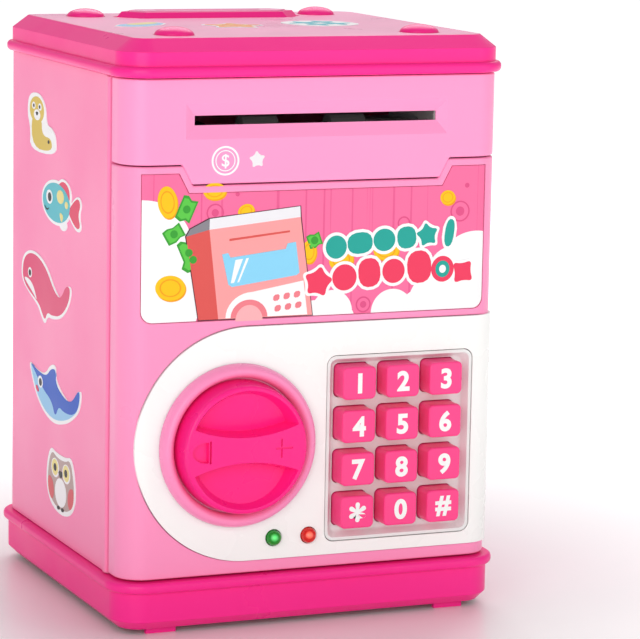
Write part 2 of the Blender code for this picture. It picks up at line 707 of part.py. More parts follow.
def build_lamp(name):
    """A 5 mm lamp with its collar behind the panel."""
    front = PANEL_FACE_Y - 1.0 * MM
    collar = LED_R + 0.6 * MM
    collar_y = FRONT_Y + 1.9 * MM
    profile = [(collar, collar_y + 1.1 * MM), (collar, collar_y), (LED_R, collar_y)]
    profile += [(LED_R * cos(t), front - 1.6 * MM * sin(t)) for t in (radians(20 * i) for i in range(5))]
    finish = "green_lens" if name == "led_green" else "red_lens"
    return turned(name, profile, (LED_X[name], LED_Z), finish, "Y", 16)


def build_ring():
    """The raised half-round ring round the knob."""
    base = PANEL_FACE_Y - GAP
    mid = (RING_R_OUT + RING_R_IN) / 2
    half = (RING_R_OUT - RING_R_IN) / 2
    profile = [
        (mid + half * cos(t), base - RING_H * sin(t)) for t in (radians(30 * i) for i in range(7))
    ]
    return turned("knob_ring", profile, (KNOB_X, KNOB_Z), "light_pink", "Y", 36, hollow=True)


def build_knob():
    """The knob: a drum with an upper and a lower scoop, which leave a waisted bar to grip."""
    back = PANEL_FACE_Y - GAP
    shoulder = KNOB_FACE_Y + 1.2 * MM
    profile = [(KNOB_R_BASE, back), (KNOB_R_BASE, back - 3 * MM), (KNOB_R_FACE + 0.5 * MM, shoulder)]
    profile += [(KNOB_R_FACE, KNOB_FACE_Y + 0.3 * MM), (KNOB_R_FACE - 0.6 * MM, KNOB_FACE_Y)]
    knob = turned("knob", profile, (KNOB_X, KNOB_Z), "hot_pink", "Y", 36)
    scoops = bmesh.new()
    rim = KNOB_R_FACE - 2.2 * MM
    for side in (1, -1):
        rings = []
        floor_y = KNOB_FACE_Y + SCOOP_DEPTH
        for grow, level in ((0.35 * MM, KNOB_FACE_Y - MM), (0, KNOB_FACE_Y), (-2 * MM, floor_y)):
            reach = radians(22)
            start, end = reach, pi - reach
            outer = [
                (KNOB_X + (rim + grow) * cos(t), KNOB_Z + side * (rim + grow) * sin(t))
                for t in (start + (end - start) * i / 10 for i in range(11))
            ]
            waist, flare = 3.9 * MM - grow, 3 * MM
            steps = [1 - i / 5 for i in range(1, 10)]
            half = (rim + grow) * cos(reach)
            inner = [(KNOB_X - half * s, KNOB_Z + side * (waist + flare * s * s)) for s in steps]
            rings.append([scoops.verts.new((x, level, z)) for x, z in outer + inner])
        for low, high in zip(rings, rings[1:]):
            for i in range(len(low)):
                j = (i + 1) % len(low)
                scoops.faces.new((low[i], low[j], high[j], high[i]))
        scoops.faces.new(rings[0])
        scoops.faces.new(rings[-1])
    socket = circle(SHAFT_HOLE_R, 20, KNOB_X, KNOB_Z)
    return cut(
        knob,
        make("knob_scoops", scoops, "hot_pink"),
        prism("knob_socket", [socket], back - 4 * MM, back + MM, "hot_pink", "Y"),
    )


def build_latch():
    """What turns with the knob behind the panel: shaft, lock disc and latch tongue."""
    centre = (KNOB_X, KNOB_Z)
    front = PANEL_FACE_Y - GAP - 4 * MM + GAP
    profile = [(SHAFT_R, front), (SHAFT_R, TONGUE_Y + TONGUE_T + 1.2 * MM)]
    shaft = turned("knob_shaft", profile, centre, "steel", "Y", 20)
    bore = circle(SHAFT_R + GAP, 20, *centre)
    rim = circle(LOCK_DISC_R, 36, *centre)
    disc = prism("lock_disc", [rim], LOCK_DISC_Y, LOCK_DISC_Y + LOCK_DISC_T, "dark_plastic", "Y")
    half = NOTCH_W / 2
    deep = LOCK_DISC_R - NOTCH_DEPTH
    past = LOCK_DISC_R + MM
    right_notch = [(deep, -half), (past, -half), (past, half), (deep, half)]
    low_notch = [(z, -x) for x, z in right_notch]
    notches = [[(KNOB_X + x, KNOB_Z + z) for x, z in notch] for notch in (right_notch, low_notch)]
    cut(
        disc,
        prism("disc_bore", [bore], -0.07, -0.04, "dark_plastic", "Y"),
        prism("disc_notches", notches, -0.07, -0.04, "dark_plastic", "Y"),
    )
    # the tongue points straight up while the door can open, and to the left when it is latched
    tip = TONGUE_W / 2
    blade = arc(KNOB_X, KNOB_Z + TONGUE_L - tip, tip, 0, 180, 8) + arc(KNOB_X, KNOB_Z, 7 * MM, 140, 400, 16)
    tongue = prism("latch_tongue", [blade], TONGUE_Y, TONGUE_Y + TONGUE_T, "steel", "Y")
    cut(tongue, prism("tongue_bore", [bore], -0.07, -0.03, "steel", "Y"))
    return shaft, disc, tongue


def build_lock():
    """The solenoid that frees the knob, and the pawl that its plunger pushes into the lock disc."""
    head_x = PAWL_TIP_X + 4 * MM
    nose = 1.5 * MM
    half_t = 1 * MM
    tip = (PAWL_TIP_X, COIL_Y - half_t, KNOB_Z - nose)
    pawl = box("lock_pawl", tip, (head_x, COIL_Y + half_t, KNOB_Z + nose), "steel")
    rod = circle(1.3 * MM, 12, COIL_Y, KNOB_Z)
    unite(pawl, prism("pawl_plunger", [rod], head_x - 1.5 * MM, COIL_X1 - 1.5 * MM, "steel", "X"))
    low = (COIL_X0, COIL_Y - COIL_HALF_D, KNOB_Z - COIL_HALF_H)
    high = (COIL_X1, COIL_Y + COIL_HALF_D, KNOB_Z + COIL_HALF_H)
    coil = box("lock_solenoid", low, high, "dark_plastic")
    bore = circle(1.7 * MM, 12, COIL_Y, KNOB_Z)
    cut(coil, prism("solenoid_bore", [bore], -0.02, 0.02, "dark_plastic", "X"))
    return pawl, coil


def build_back_cover():
    """The flat cover that closes the door's back."""
    x0, x1 = WALL - SIDE_X + GAP, HINGE_X - HINGE_R - 0.2 * MM - GAP
    z0, z1 = DOOR_Z0 + WALL + GAP, DIP_Z - 2.4 * MM - GAP
    mid = ((x0 + x1) / 2, (z0 + z1) / 2)
    plan = rounded(x1 - x0, z1 - z0, 2 * MM, 3, *mid)
    cover = prism("door_back_cover", [plan], BACK_Y, PARTING_Y, "light_pink", "Y")
    hole = circle(SHAFT_HOLE_R, 20, KNOB_X, KNOB_Z)
    return cut(cover, prism("cover_bearing", [hole], -0.06, -0.04, "light_pink", "Y"))


def build_hinge_pins():
    """Two steel pins, in the base's deck and in the upper panel's boss, that the door turns on."""
    spans = {
        "hinge_pin_lower": (12 * MM, DOOR_Z0 + 7.5 * MM),
        "hinge_pin_upper": (PARTING_Z - 8.5 * MM, PARTING_Z + 7.5 * MM),
    }
    for name, (low, high) in spans.items():
        turned(name, [(PIN_R, low), (PIN_R, high)], (HINGE_X, HINGE_Y), "steel", "Z", 12)


def gear(name, teeth, centre, facing):
    """A spur gear in YZ with slim trapezium teeth. One tooth is centred on the angle facing."""
    pitch_r = GEAR_MODULE * teeth / 2
    tip_r, root_r = pitch_r + 0.85 * GEAR_MODULE, pitch_r - 1.15 * GEAR_MODULE
    pitch = 2 * pi / teeth
    outline = []
    for i in range(teeth):
        mid = facing + i * pitch
        for radius, share in ((root_r, -0.33), (tip_r, -0.11), (tip_r, 0.11), (root_r, 0.33)):
            t = mid + share * pitch
            outline.append((centre[0] + radius * cos(t), centre[1] + radius * sin(t)))
    return prism(name, [outline], GEAR_X0, GEAR_X0 + GEAR_T, "white", "X")


def build_feeder():
    """The note feeder: a housing behind the slot, driven rollers, sprung idlers, a motor and two gears."""
    low, high = (-HOUSING_HALF, HOUSING_Y0, HOUSING_Z0), (HOUSING_HALF, HOUSING_Y1, HOUSING_Z1)
    housing = box("feed_housing", low, high, "white")
    t = 2 * MM
    room_low = (t - HOUSING_HALF, HOUSING_Y0 + t, HOUSING_Z0 + t)
    hollow = box("housing_hollow", room_low, (HOUSING_HALF - t, 0, HOUSING_Z1 - t), "white")
    mouth = rounded(2 * SLOT_HALF + MM, SLOT_Z1 - SLOT_Z0 + MM, 0.3 * MM, 2, 0, NIP_Z)
    motor_low = (20 * MM, MOTOR_Y - 7 * MM, HOUSING_Z0 - MM)
    motor_room = box("motor_room", motor_low, (HOUSING_HALF - t, 0, HOUSING_Z0 + t + MM), "white")
    axles = ((FEED_Y, FEED_Z), (FEED_Y, PINCH_Z), (MOTOR_Y, MOTOR_Z))
    bearings = [circle(1.8 * MM, 12, *axle) for axle in axles]
    cut(
        housing,
        hollow,
        prism("housing_mouth", [mouth], HOUSING_Y0 - MM, HOUSING_Y0 + 3 * MM, "white", "Y"),
        motor_room,
        prism("shaft_bearings", bearings, -0.06, 0.06, "white", "X"),
    )

    towards = Vector((MOTOR_Y - FEED_Y, MOTOR_Z - FEED_Z))
    facing = Vector((1, 0)).angle_signed(towards) * -1
    shaft_end = GEAR_X0 + GEAR_T + MM
    shaft_r = 1.5 * MM
    axle = [(shaft_r, -HOUSING_HALF - MM), (shaft_r, shaft_end)]
    shaft = turned("feed_shaft", axle, (FEED_Y, FEED_Z), "steel", "X", 12)
    wheel = gear("feed_gear", GEAR_TEETH, (FEED_Y, FEED_Z), facing)
    cut(wheel, prism("gear_bore", [circle(shaft_r + GAP, 12, FEED_Y, FEED_Z)], 0.04, 0.06, "white", "X"))
    rollers = []
    for name, side in (("left", -1), ("right", 1)):
        low, high = side * ROLLER_X - ROLLER_L / 2, side * ROLLER_X + ROLLER_L / 2
        profile = [(shaft_r + GAP, low), (ROLLER_R, low), (ROLLER_R, high), (shaft_r + GAP, high)]
        axle_at = (FEED_Y, FEED_Z)
        rollers.append(turned(f"feed_roller_{name}", profile, axle_at, "rubber", "X", 16, hollow=True))

    idler = [(shaft_r, -HOUSING_HALF - MM)]
    for side in (-1, 1):
        low, high = side * ROLLER_X - ROLLER_L / 2, side * ROLLER_X + ROLLER_L / 2
        idler += [(shaft_r, low), (PINCH_R, low), (PINCH_R, high), (shaft_r, high)]
    idler += [(shaft_r, HOUSING_HALF + MM)]
    pinch = turned("pinch_roller", idler, (FEED_Y, PINCH_Z), "white", "X", 16)

    gap_turn = pi / PINION_TEETH
    pinion = gear("motor_pinion", PINION_TEETH, (MOTOR_Y, MOTOR_Z), facing + pi + gap_turn)
    motor_x1 = HOUSING_HALF - t - GAP
    spindle = circle(0.9 * MM, 10, MOTOR_Y, MOTOR_Z)
    unite(pinion, prism("motor_shaft", [spindle], motor_x1 - 4 * MM, GEAR_X0 + 0.5 * MM, "white", "X"))
    can = rounded(12 * MM, 9.6 * MM, 3 * MM, 3, MOTOR_Y, MOTOR_Z)
    motor = prism("feed_motor", [can], motor_x1 - 20 * MM, motor_x1, "steel", "X")
    bore = circle(1.2 * MM, 10, MOTOR_Y, MOTOR_Z)
    cut(motor, prism("motor_bore", [bore], motor_x1 - 5 * MM, 0.06, "steel", "X"))
    return shaft, wheel, rollers, pinch, pinion


def build_power():
    """The battery box inside the back wall, its cells, contacts, door and screw, and the speaker."""
    back = BODY_D / 2 - WALL - GAP
    front = back - BAY_DEPTH
    box_low, box_high = (-BAY_HALF_W, front, BAY_Z0), (BAY_HALF_W, back, BAY_Z1)
    case = box("battery_box", box_low, box_high, "white")
    t = 1.6 * MM
    room_low = (t - BAY_HALF_W, front + t, BAY_Z0 + t)
    cut(case, box("battery_room", room_low, (BAY_HALF_W - t, 0.1, BAY_Z1 - t), "white"))
    cell_y = front + t + GAP + CELL_R + 0.2 * MM
    for i in range(3):
        flip = 1 if i % 2 == 0 else -1
        z = CELL_Z + i * CELL_PITCH
        half = CELL_L / 2
        profile = [(CELL_R - 0.6 * MM, -half), (CELL_R, 0.6 * MM - half), (CELL_R, half - 1.6 * MM)]
        profile += [(CELL_R - 0.6 * MM, half - MM), (2.6 * MM, half - MM), (2.6 * MM, half)]
        profile = [(r, flip * x) for r, x in profile]
        turned(f"battery_cell_{i + 1}", profile, (cell_y, z), "cell_wrap", "X", 16)
    strip_h = BAY_Z1 - BAY_Z0 - 2 * t - 2 * MM
    mid_z = (BAY_Z0 + BAY_Z1) / 2
    for name, side in (("left", -1), ("right", 1)):
        wall_x = side * (BAY_HALF_W - t - GAP)
        low, high = sorted((wall_x, wall_x - side * 0.5 * MM))
        strip = rounded(10 * MM, strip_h, 1 * MM, 2, cell_y, mid_z)
        prism(f"battery_contact_{name}", [strip], low, high, "steel", "X")

    door_w, door_h = 2 * BAY_HALF_W - 6 * MM, BAY_Z1 - BAY_Z0 - 6 * MM
    outer_y = BODY_D / 2
    plan = rounded(door_w + 3.4 * MM, door_h + 3.4 * MM, 2.7 * MM, 3, 0, mid_z)
    door = prism("battery_door", [plan], outer_y - 0.9 * MM, outer_y + 0.4 * MM, "light_pink", "Y")
    screw_z = mid_z + door_h / 2 - 5 * MM
    hole = circle(1.9 * MM, 12, 0, screw_z)
    cut(door, prism("door_screw_hole", [hole], outer_y - 3 * MM, outer_y + 2 * MM, "light_pink", "Y"))
    screw = [(1.4 * MM, outer_y - 3 * MM), (1.4 * MM, outer_y - MM)]
    screw += [(1.6 * MM, outer_y - MM), (1.6 * MM, outer_y + 0.1 * MM)]
    turned("battery_door_screw", screw, (0, screw_z), "steel", "Y", 12)

    cone = [(SPEAKER_R, back), (SPEAKER_R, back - 2.5 * MM), (SPEAKER_R * 0.62, back - 6 * MM)]
    cone += [(SPEAKER_R * 0.62, back - 10 * MM)]
    turned("speaker", cone, (0, SPEAKER_Z), "dark_plastic", "Y", 24)


def main():
    for thing in list(bpy.data.objects):
        bpy.data.objects.remove(thing)

    build_case()
    build_base()
    build_base_screws()
    build_lid()
    build_upper_panel()
    build_hinge_pins()
    build_power()

    hinge = joint("door_hinge_axis", (HINGE_X, HINGE_Y, DOOR_Z0))
    panel = build_control_panel()
    mat, board = build_key_mat()
    hang(hinge, build_door(), build_label(), panel, build_ring(), build_tray())
    hang(hinge, mat, board, build_back_cover())
    hang(hinge, *(build_lamp(name) for name in LED_X))
    build_keys(hinge)

    knob_axis = joint("knob_axis", (KNOB_X, FRONT_Y, KNOB_Z), hinge)
    hang(knob_axis, build_knob(), *build_latch())
    pawl, coil = build_lock()
    hang(hinge, pawl, coil)

    shaft, wheel, rollers, pinch, pinion = build_feeder()
    hang(joint("feed_axis", (0, FEED_Y, FEED_Z)), shaft, wheel, *rollers)
    hang(joint("pinch_axis", (0, FEED_Y, PINCH_Z)), pinch)
    hang(joint("pinion_axis", (GEAR_X0, MOTOR_Y, MOTOR_Z)), pinion)

    # everything so far stands around the box's middle
    loose = [thing for thing in bpy.data.objects if not thing.parent]
    middle = joint("middle_of_the_box", (0, CENTRE_Y, 0))
    for thing in loose:
        thing.parent = middle


main()
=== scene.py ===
import json
from math import cos, pi, radians, sin

import bpy
from mathutils import Matrix, Vector

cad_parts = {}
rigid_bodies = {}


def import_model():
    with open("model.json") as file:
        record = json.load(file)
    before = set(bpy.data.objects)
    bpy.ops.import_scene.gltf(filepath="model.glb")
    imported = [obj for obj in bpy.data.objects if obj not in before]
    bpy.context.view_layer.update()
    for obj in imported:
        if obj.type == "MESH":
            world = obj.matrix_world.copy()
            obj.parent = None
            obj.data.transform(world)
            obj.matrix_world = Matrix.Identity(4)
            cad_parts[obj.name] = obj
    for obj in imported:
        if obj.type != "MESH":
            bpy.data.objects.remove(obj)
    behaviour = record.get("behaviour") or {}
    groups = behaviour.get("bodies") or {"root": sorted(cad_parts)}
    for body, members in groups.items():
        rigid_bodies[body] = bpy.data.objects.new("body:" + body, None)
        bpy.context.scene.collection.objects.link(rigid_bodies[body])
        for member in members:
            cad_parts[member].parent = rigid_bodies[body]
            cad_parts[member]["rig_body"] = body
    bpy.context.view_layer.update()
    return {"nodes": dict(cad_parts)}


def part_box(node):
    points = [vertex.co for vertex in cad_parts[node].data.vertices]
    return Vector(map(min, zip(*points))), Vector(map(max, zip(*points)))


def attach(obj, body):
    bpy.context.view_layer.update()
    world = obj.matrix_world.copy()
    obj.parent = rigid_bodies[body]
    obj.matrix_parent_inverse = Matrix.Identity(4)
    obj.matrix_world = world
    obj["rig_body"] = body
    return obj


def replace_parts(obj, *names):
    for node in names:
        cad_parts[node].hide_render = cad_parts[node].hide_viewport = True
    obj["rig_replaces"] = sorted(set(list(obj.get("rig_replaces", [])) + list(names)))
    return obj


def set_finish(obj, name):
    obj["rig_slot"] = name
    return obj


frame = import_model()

# ---- the room ----
# A wide flat floor of pale paper that glows with painted light, faint near the toy and brighter further off,
# so that it fades to white behind the toy; three soft boxes and a long lens that stands a metre off the left
# front corner, a little above the lid.
mm = 0.001


def nothing_selected():
    if bpy.context.mode != "OBJECT":
        bpy.ops.object.mode_set(mode="OBJECT")
    bpy.ops.object.select_all(action="DESELECT")


def add_node(tree, kind, values=(), **settings):
    """A shader node with its settings made and its input values set."""
    node = tree.nodes.new(f"ShaderNode{kind}")
    for setting, value in settings.items():
        setattr(node, setting, value)
    for entry, value in dict(values).items():
        node.inputs[entry].default_value = value
    return node


def wire(tree, *runs):
    """Join nodes: each run is a node, its output, the next node and its input."""
    for source, output, target, entry in runs:
        tree.links.new(source.outputs[output], target.inputs[entry])


nothing_selected()
bpy.ops.mesh.primitive_plane_add(size=8, location=(0, 0, 0))
floor = bpy.context.object
floor.name = "paper_floor"

paper = bpy.data.materials.new("studio_paper")
paper.use_nodes = True
paper_tree = paper.node_tree
paper_shader = paper_tree.nodes["Principled BSDF"]
paper_shader.inputs["Roughness"].default_value = 0.3
paper_shader.inputs["Emission Strength"].default_value = 1
paper_place = add_node(paper_tree, "TexCoord")
paper_fibre = add_node(paper_tree, "TexNoise", {"Scale": 40})
paper_tones = {"A": (0.90, 0.895, 0.90, 1), "B": (0.93, 0.925, 0.93, 1)}
paper_tone = add_node(paper_tree, "Mix", paper_tones, data_type="RGBA")
# The floor's emission is painted light: dim within a few centimetres of the toy, where its real shadow falls,
# and rising to a white glow further off.
paper_reach = add_node(paper_tree, "VectorMath", operation="LENGTH")
glow_range = {"From Min": 0.09, "From Max": 0.32, "To Min": 0.02, "To Max": 0.62}
paper_glow = add_node(paper_tree, "MapRange", glow_range)
wire(
    paper_tree,
    (paper_place, "Object", paper_fibre, "Vector"),
    (paper_fibre, "Fac", paper_tone, "Factor"),
    (paper_tone, "Result", paper_shader, "Base Color"),
    (paper_place, "Object", paper_reach, 0),
    (paper_reach, "Value", paper_glow, "Value"),
    (paper_glow, "Result", paper_shader, "Emission Color"),
)
floor.data.materials.append(paper)

world = bpy.data.worlds.new("white_room")
bpy.context.scene.world = world
world.use_nodes = True
world.node_tree.nodes["Background"].inputs["Color"].default_value = (1, 0.985, 0.99, 1)
world.node_tree.nodes["Background"].inputs["Strength"].default_value = 0.48

soft_boxes = {
    "key_light": ((-0.8, -1.15, 0.5), 1.0, 7.2),
    "fill_light": ((0.8, -1.1, 0.4), 0.8, 2.2),
    "top_light": ((0.35, 0.75, 0.95), 0.9, 7),
}
for name, (place, size, power) in soft_boxes.items():
    nothing_selected()
    bpy.ops.object.light_add(type="AREA", location=place)
    lamp = bpy.context.object
    lamp.name = name
    lamp.data.size = size
    lamp.data.energy = power
    lamp.rotation_euler = (Vector((0, 0, 0.09)) - Vector(place)).to_track_quat("-Z", "Y").to_euler()

yaw, pitch, roll = radians(23.06), radians(-9.22), radians(1.06)
ahead = Vector((sin(yaw) * cos(pitch), cos(yaw) * cos(pitch), sin(pitch)))
level_right = Vector((cos(yaw), -sin(yaw), 0))
level_up = level_right.cross(ahead)
right = level_right * cos(roll) + level_up * sin(roll)
up = right.cross(ahead)
nothing_selected()
bpy.ops.object.camera_add()
camera = bpy.context.object
camera.matrix_world = Matrix((right, up, -ahead)).transposed().to_4x4()
camera.location = (-0.3847, -0.9649, 0.2583)
camera.data.sensor_width = 36
camera.data.lens = 177.6
camera.data.clip_start = 0.05
camera.data.clip_end = 20
bpy.context.scene.camera = camera
bpy.context.scene.view_settings.view_transform = "Standard"

# ---- the base ----
# A hot pink ABS tray turned over, screwed up into the body. Its wall is drawn in at the foot and its
# top edge rolls out into a thick lip. Four bosses inside take the screws.
base_low, base_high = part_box("base_tray")
middle_y = (base_low.y + base_high.y) / 2
half_w, half_d = 64 * mm, 61 * mm
four_corners = [(sx, sy) for sx in (-1, 1) for sy in (-1, 1)]
boss_x, boss_y = 50 * mm, 44 * mm
lip_out, rim_out = 3 * mm, 1.3 * mm


def block(name, low, high):
    """A block between two corners, its object at the origin."""
    nothing_selected()
    middle = [(a + b) / 2 for a, b in zip(low, high)]
    bpy.ops.mesh.primitive_cube_add(size=1, location=middle, scale=[b - a for a, b in zip(low, high)])
    piece = bpy.context.object
    piece.name = piece.data.name = name
    bpy.ops.object.transform_apply(location=True, rotation=True, scale=True)
    return piece


def rod(name, start, end, radius, end_radius=None, sides=48):
    """A round bar, or a cone, from start to end."""
    nothing_selected()
    start, end = Vector(start), Vector(end)
    bpy.ops.mesh.primitive_cone_add(
        vertices=sides, radius1=radius, radius2=radius if end_radius is None else end_radius,
        depth=(end - start).length, location=(start + end) / 2,
        rotation=(end - start).to_track_quat("Z", "Y").to_euler(),
    )
    piece = bpy.context.object
    piece.name = piece.data.name = name
    bpy.ops.object.transform_apply(location=True, rotation=True, scale=True)
    return piece


def take_up(piece):
    nothing_selected()
    piece.select_set(True)
    bpy.context.view_layer.objects.active = piece


def open_with(piece, kind, chosen):
    """Edit mode, with the faces, edges or corners selected whose middle and direction are chosen."""
    take_up(piece)
    bpy.ops.object.mode_set(mode="EDIT")
    bpy.ops.mesh.select_mode(type=kind)
    bpy.ops.mesh.select_all(action="DESELECT")
    bpy.ops.object.mode_set(mode="OBJECT")
    corners = piece.data.vertices
    if kind == "VERT":
        for corner in corners:
            corner.select = chosen(corner.co)
    elif kind == "EDGE":
        for edge in piece.data.edges:
            a, b = (corners[i].co for i in edge.vertices)
            edge.select = chosen((a + b) / 2, (b - a).normalized())
    else:
        for face in piece.data.polygons:
            face.select = chosen(face.center, face.normal)
    bpy.ops.object.mode_set(mode="EDIT")


def put_down():
    bpy.ops.object.mode_set(mode="OBJECT")


def round_edges(piece, radius, chosen, segments=8):
    """Round the chosen edges, as a mould maker rounds a corner."""
    open_with(piece, "EDGE", chosen)
    bpy.ops.mesh.bevel(offset=radius, segments=segments, affect="EDGES", clamp_overlap=False)
    put_down()


def upright(middle, direction):
    return abs(direction.z) > 0.99


def across(middle, direction):
    return abs(direction.y) > 0.99


def reshape(piece, kind, chosen, value, centre):
    """Scale the chosen faces, edges or corners about a point."""
    open_with(piece, kind, chosen)
    bpy.ops.transform.resize(value=value, center_override=centre)
    put_down()


def slab(name, out, low_z, high_z):
    """A block over the bank's whole plan, and so far past it on all four sides."""
    return block(
        name,
        (-half_w - out, middle_y - half_d - out, low_z),
        (half_w + out, middle_y + half_d + out, high_z),
    )


def soften(piece, width, segments=2, angle=32):
    """Break every sharp edge by a small radius."""
    take_up(piece)
    bevel = piece.modifiers.new("edge", "BEVEL")
    bevel.width = width
    bevel.segments = segments
    bevel.limit_method = "ANGLE"
    bevel.angle_limit = radians(angle)
    bevel.use_clamp_overlap = True
    bpy.ops.object.modifier_apply(modifier=bevel.name)


def boolean(piece, tools, how):
    for tool in tools:
        take_up(piece)
        step = piece.modifiers.new("step", "BOOLEAN")
        step.operation = how
        step.solver = "EXACT"
        step.object = tool
        bpy.ops.object.modifier_apply(modifier=step.name)
        bpy.data.objects.remove(tool)
    return piece


def carve(piece, *tools):
    return boolean(piece, tools, "DIFFERENCE")


def weld(piece, *tools):
    return boolean(piece, tools, "UNION")


def keep_inside(piece, *tools):
    return boolean(piece, tools, "INTERSECT")


def finish(piece, material, body, slot_name, *nodes, angle=35):
    """Smooth shading, material, and the body that the piece belongs to."""
    take_up(piece)
    bpy.ops.object.shade_smooth_by_angle(angle=radians(angle))
    flats = piece.modifiers.new("flats", "WEIGHTED_NORMAL")
    flats.keep_sharp = True
    bpy.ops.object.modifier_apply(modifier=flats.name)
    piece.data.materials.clear()
    piece.data.materials.append(material)
    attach(piece, body)
    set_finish(piece, slot_name)
    if nodes:
        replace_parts(piece, *nodes)
    return piece


def node_group(name, inputs, outputs):
    """An empty shader group with named sockets, and its two end nodes."""
    tree = bpy.data.node_groups.new(name, "ShaderNodeTree")
    for label, kind, value in inputs:
        socket = tree.interface.new_socket(label, in_out="INPUT", socket_type=kind)
        socket.default_value = value
    for label, kind in outputs:
        tree.interface.new_socket(label, in_out="OUTPUT", socket_type=kind)
    return tree, tree.nodes.new("NodeGroupInput"), tree.nodes.new("NodeGroupOutput")


# Moulded plastic is never quite even: the pigment drifts a little over the piece, the mould leaves
# a fine skin in the surface, and handling dulls some of the gloss.
moulding, moulding_in, moulding_out = node_group(
    "moulded_skin",
    [("Colour", "NodeSocketColor", (1, 1, 1, 1)), ("Deep Colour", "NodeSocketColor", (1, 1, 1, 1)),
     ("Drift Scale", "NodeSocketFloat", 12), ("Skin Scale", "NodeSocketFloat", 1800),
     ("Gloss Low", "NodeSocketFloat", 0.25), ("Gloss High", "NodeSocketFloat", 0.4)],
    [("Colour", "NodeSocketColor"), ("Roughness", "NodeSocketFloat"), ("Height", "NodeSocketFloat")],
)
skin_place = add_node(moulding, "TexCoord")
drift = add_node(moulding, "TexNoise", {"Detail": 2})
drift_mix = add_node(moulding, "Mix", data_type="RGBA")
skin_noise = add_node(moulding, "TexNoise", {"Detail": 3})
handled = add_node(moulding, "TexNoise", {"Scale": 35, "Detail": 5})
gloss_range = add_node(moulding, "MapRange", {"From Min": 0.3, "From Max": 0.7})
wire(
    moulding,
    (skin_place, "Object", drift, "Vector"),
    (moulding_in, "Drift Scale", drift, "Scale"),
    (drift, "Fac", drift_mix, "Factor"),
    (moulding_in, "Colour", drift_mix, "A"),
    (moulding_in, "Deep Colour", drift_mix, "B"),
    (drift_mix, "Result", moulding_out, "Colour"),
    (skin_place, "Object", skin_noise, "Vector"),
    (moulding_in, "Skin Scale", skin_noise, "Scale"),
    (skin_noise, "Fac", moulding_out, "Height"),
    (skin_place, "Object", handled, "Vector"),
    (handled, "Fac", gloss_range, "Value"),
    (moulding_in, "Gloss Low", gloss_range, "To Min"),
    (moulding_in, "Gloss High", gloss_range, "To Max"),
    (gloss_range, "Result", moulding_out, "Roughness"),
)


def plastic(name, colour, deep, gloss=(0.25, 0.38), skin=1800, relief=0.02, coat=0.0, sheen=0.35):
    """A moulded plastic of its own, with the shared skin in it."""
    made = bpy.data.materials.new(name)
    made.use_nodes = True
    tree = made.node_tree
    shader = tree.nodes["Principled BSDF"]
    shader.inputs["Coat Weight"].default_value = coat
    shader.inputs["Specular IOR Level"].default_value = sheen
    surface = tree.nodes.new("ShaderNodeGroup")
    surface.node_tree = moulding
    for entry, value in (
        ("Colour", (*colour, 1)), ("Deep Colour", (*deep, 1)), ("Skin Scale", skin),
        ("Gloss Low", gloss[0]), ("Gloss High", gloss[1]),
    ):
        surface.inputs[entry].default_value = value
    bump = add_node(tree, "Bump", {"Strength": relief, "Distance": 0.1 * mm})
    wire(
        tree,
        (surface, "Colour", shader, "Base Color"),
        (surface, "Roughness", shader, "Roughness"),
        (surface, "Height", bump, "Height"),
        (bump, "Normal", shader, "Normal"),
    )
    return made


hot_pink = plastic("hot_pink_abs", (1.0, 0.022, 0.29), (0.97, 0.018, 0.265), (0.26, 0.38), sheen=0.28)

foot_z = base_low.z + 1.2 * mm
base = slab("base", rim_out, foot_z, base_high.z - 0.5 * mm)
round_edges(base, 10.3 * mm, upright, 10)
round_edges(base, 3.4 * mm, lambda m, d: m.z < foot_z + 0.1 * mm and abs(d.z) < 0.01, 1)
base_lip = slab("base_lip", lip_out, base_high.z - 3.4 * mm, base_high.z)
round_edges(base_lip, 12 * mm, upright, 10)
soften(base_lip, 1.35 * mm, 4)
base_hollow = slab("base_hollow", -1.4 * mm, -5 * mm, base_high.z - 2.2 * mm)
round_edges(base_hollow, 8 * mm, upright, 6)
foot_slope = slab("foot_slope", 5 * mm, -5 * mm, foot_z)
weld(base, base_lip)
carve(base, base_hollow, foot_slope)
for sx, sy in four_corners:
    x, y, foot_y = sx * boss_x, middle_y + sy * boss_y, middle_y + sy * 57.4 * mm
    foot = block("foot", (x - 5 * mm, foot_y - 0.9 * mm, 0), (x + 5 * mm, foot_y + 0.9 * mm, 3 * mm))
    boss = rod("boss", (x, y, 6 * mm), (x, y, 15.5 * mm), 3.6 * mm, sides=24)
    well = rod("well", (x, y, 0), (x, y, 20 * mm), 1.7 * mm, sides=16)
    weld(base, foot, boss)
    carve(base, well)
soften(base, 0.35 * mm, 2)
finish(base, hot_pink, "bank", "hot_pink", "base_tray")

# ---- the body ----
# The sides and the back are one light pink moulding, open at the front, with a bead down each front
# edge. The back wall has the battery opening and the speaker's ring of holes.
shell_low, shell_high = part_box("body_shell")
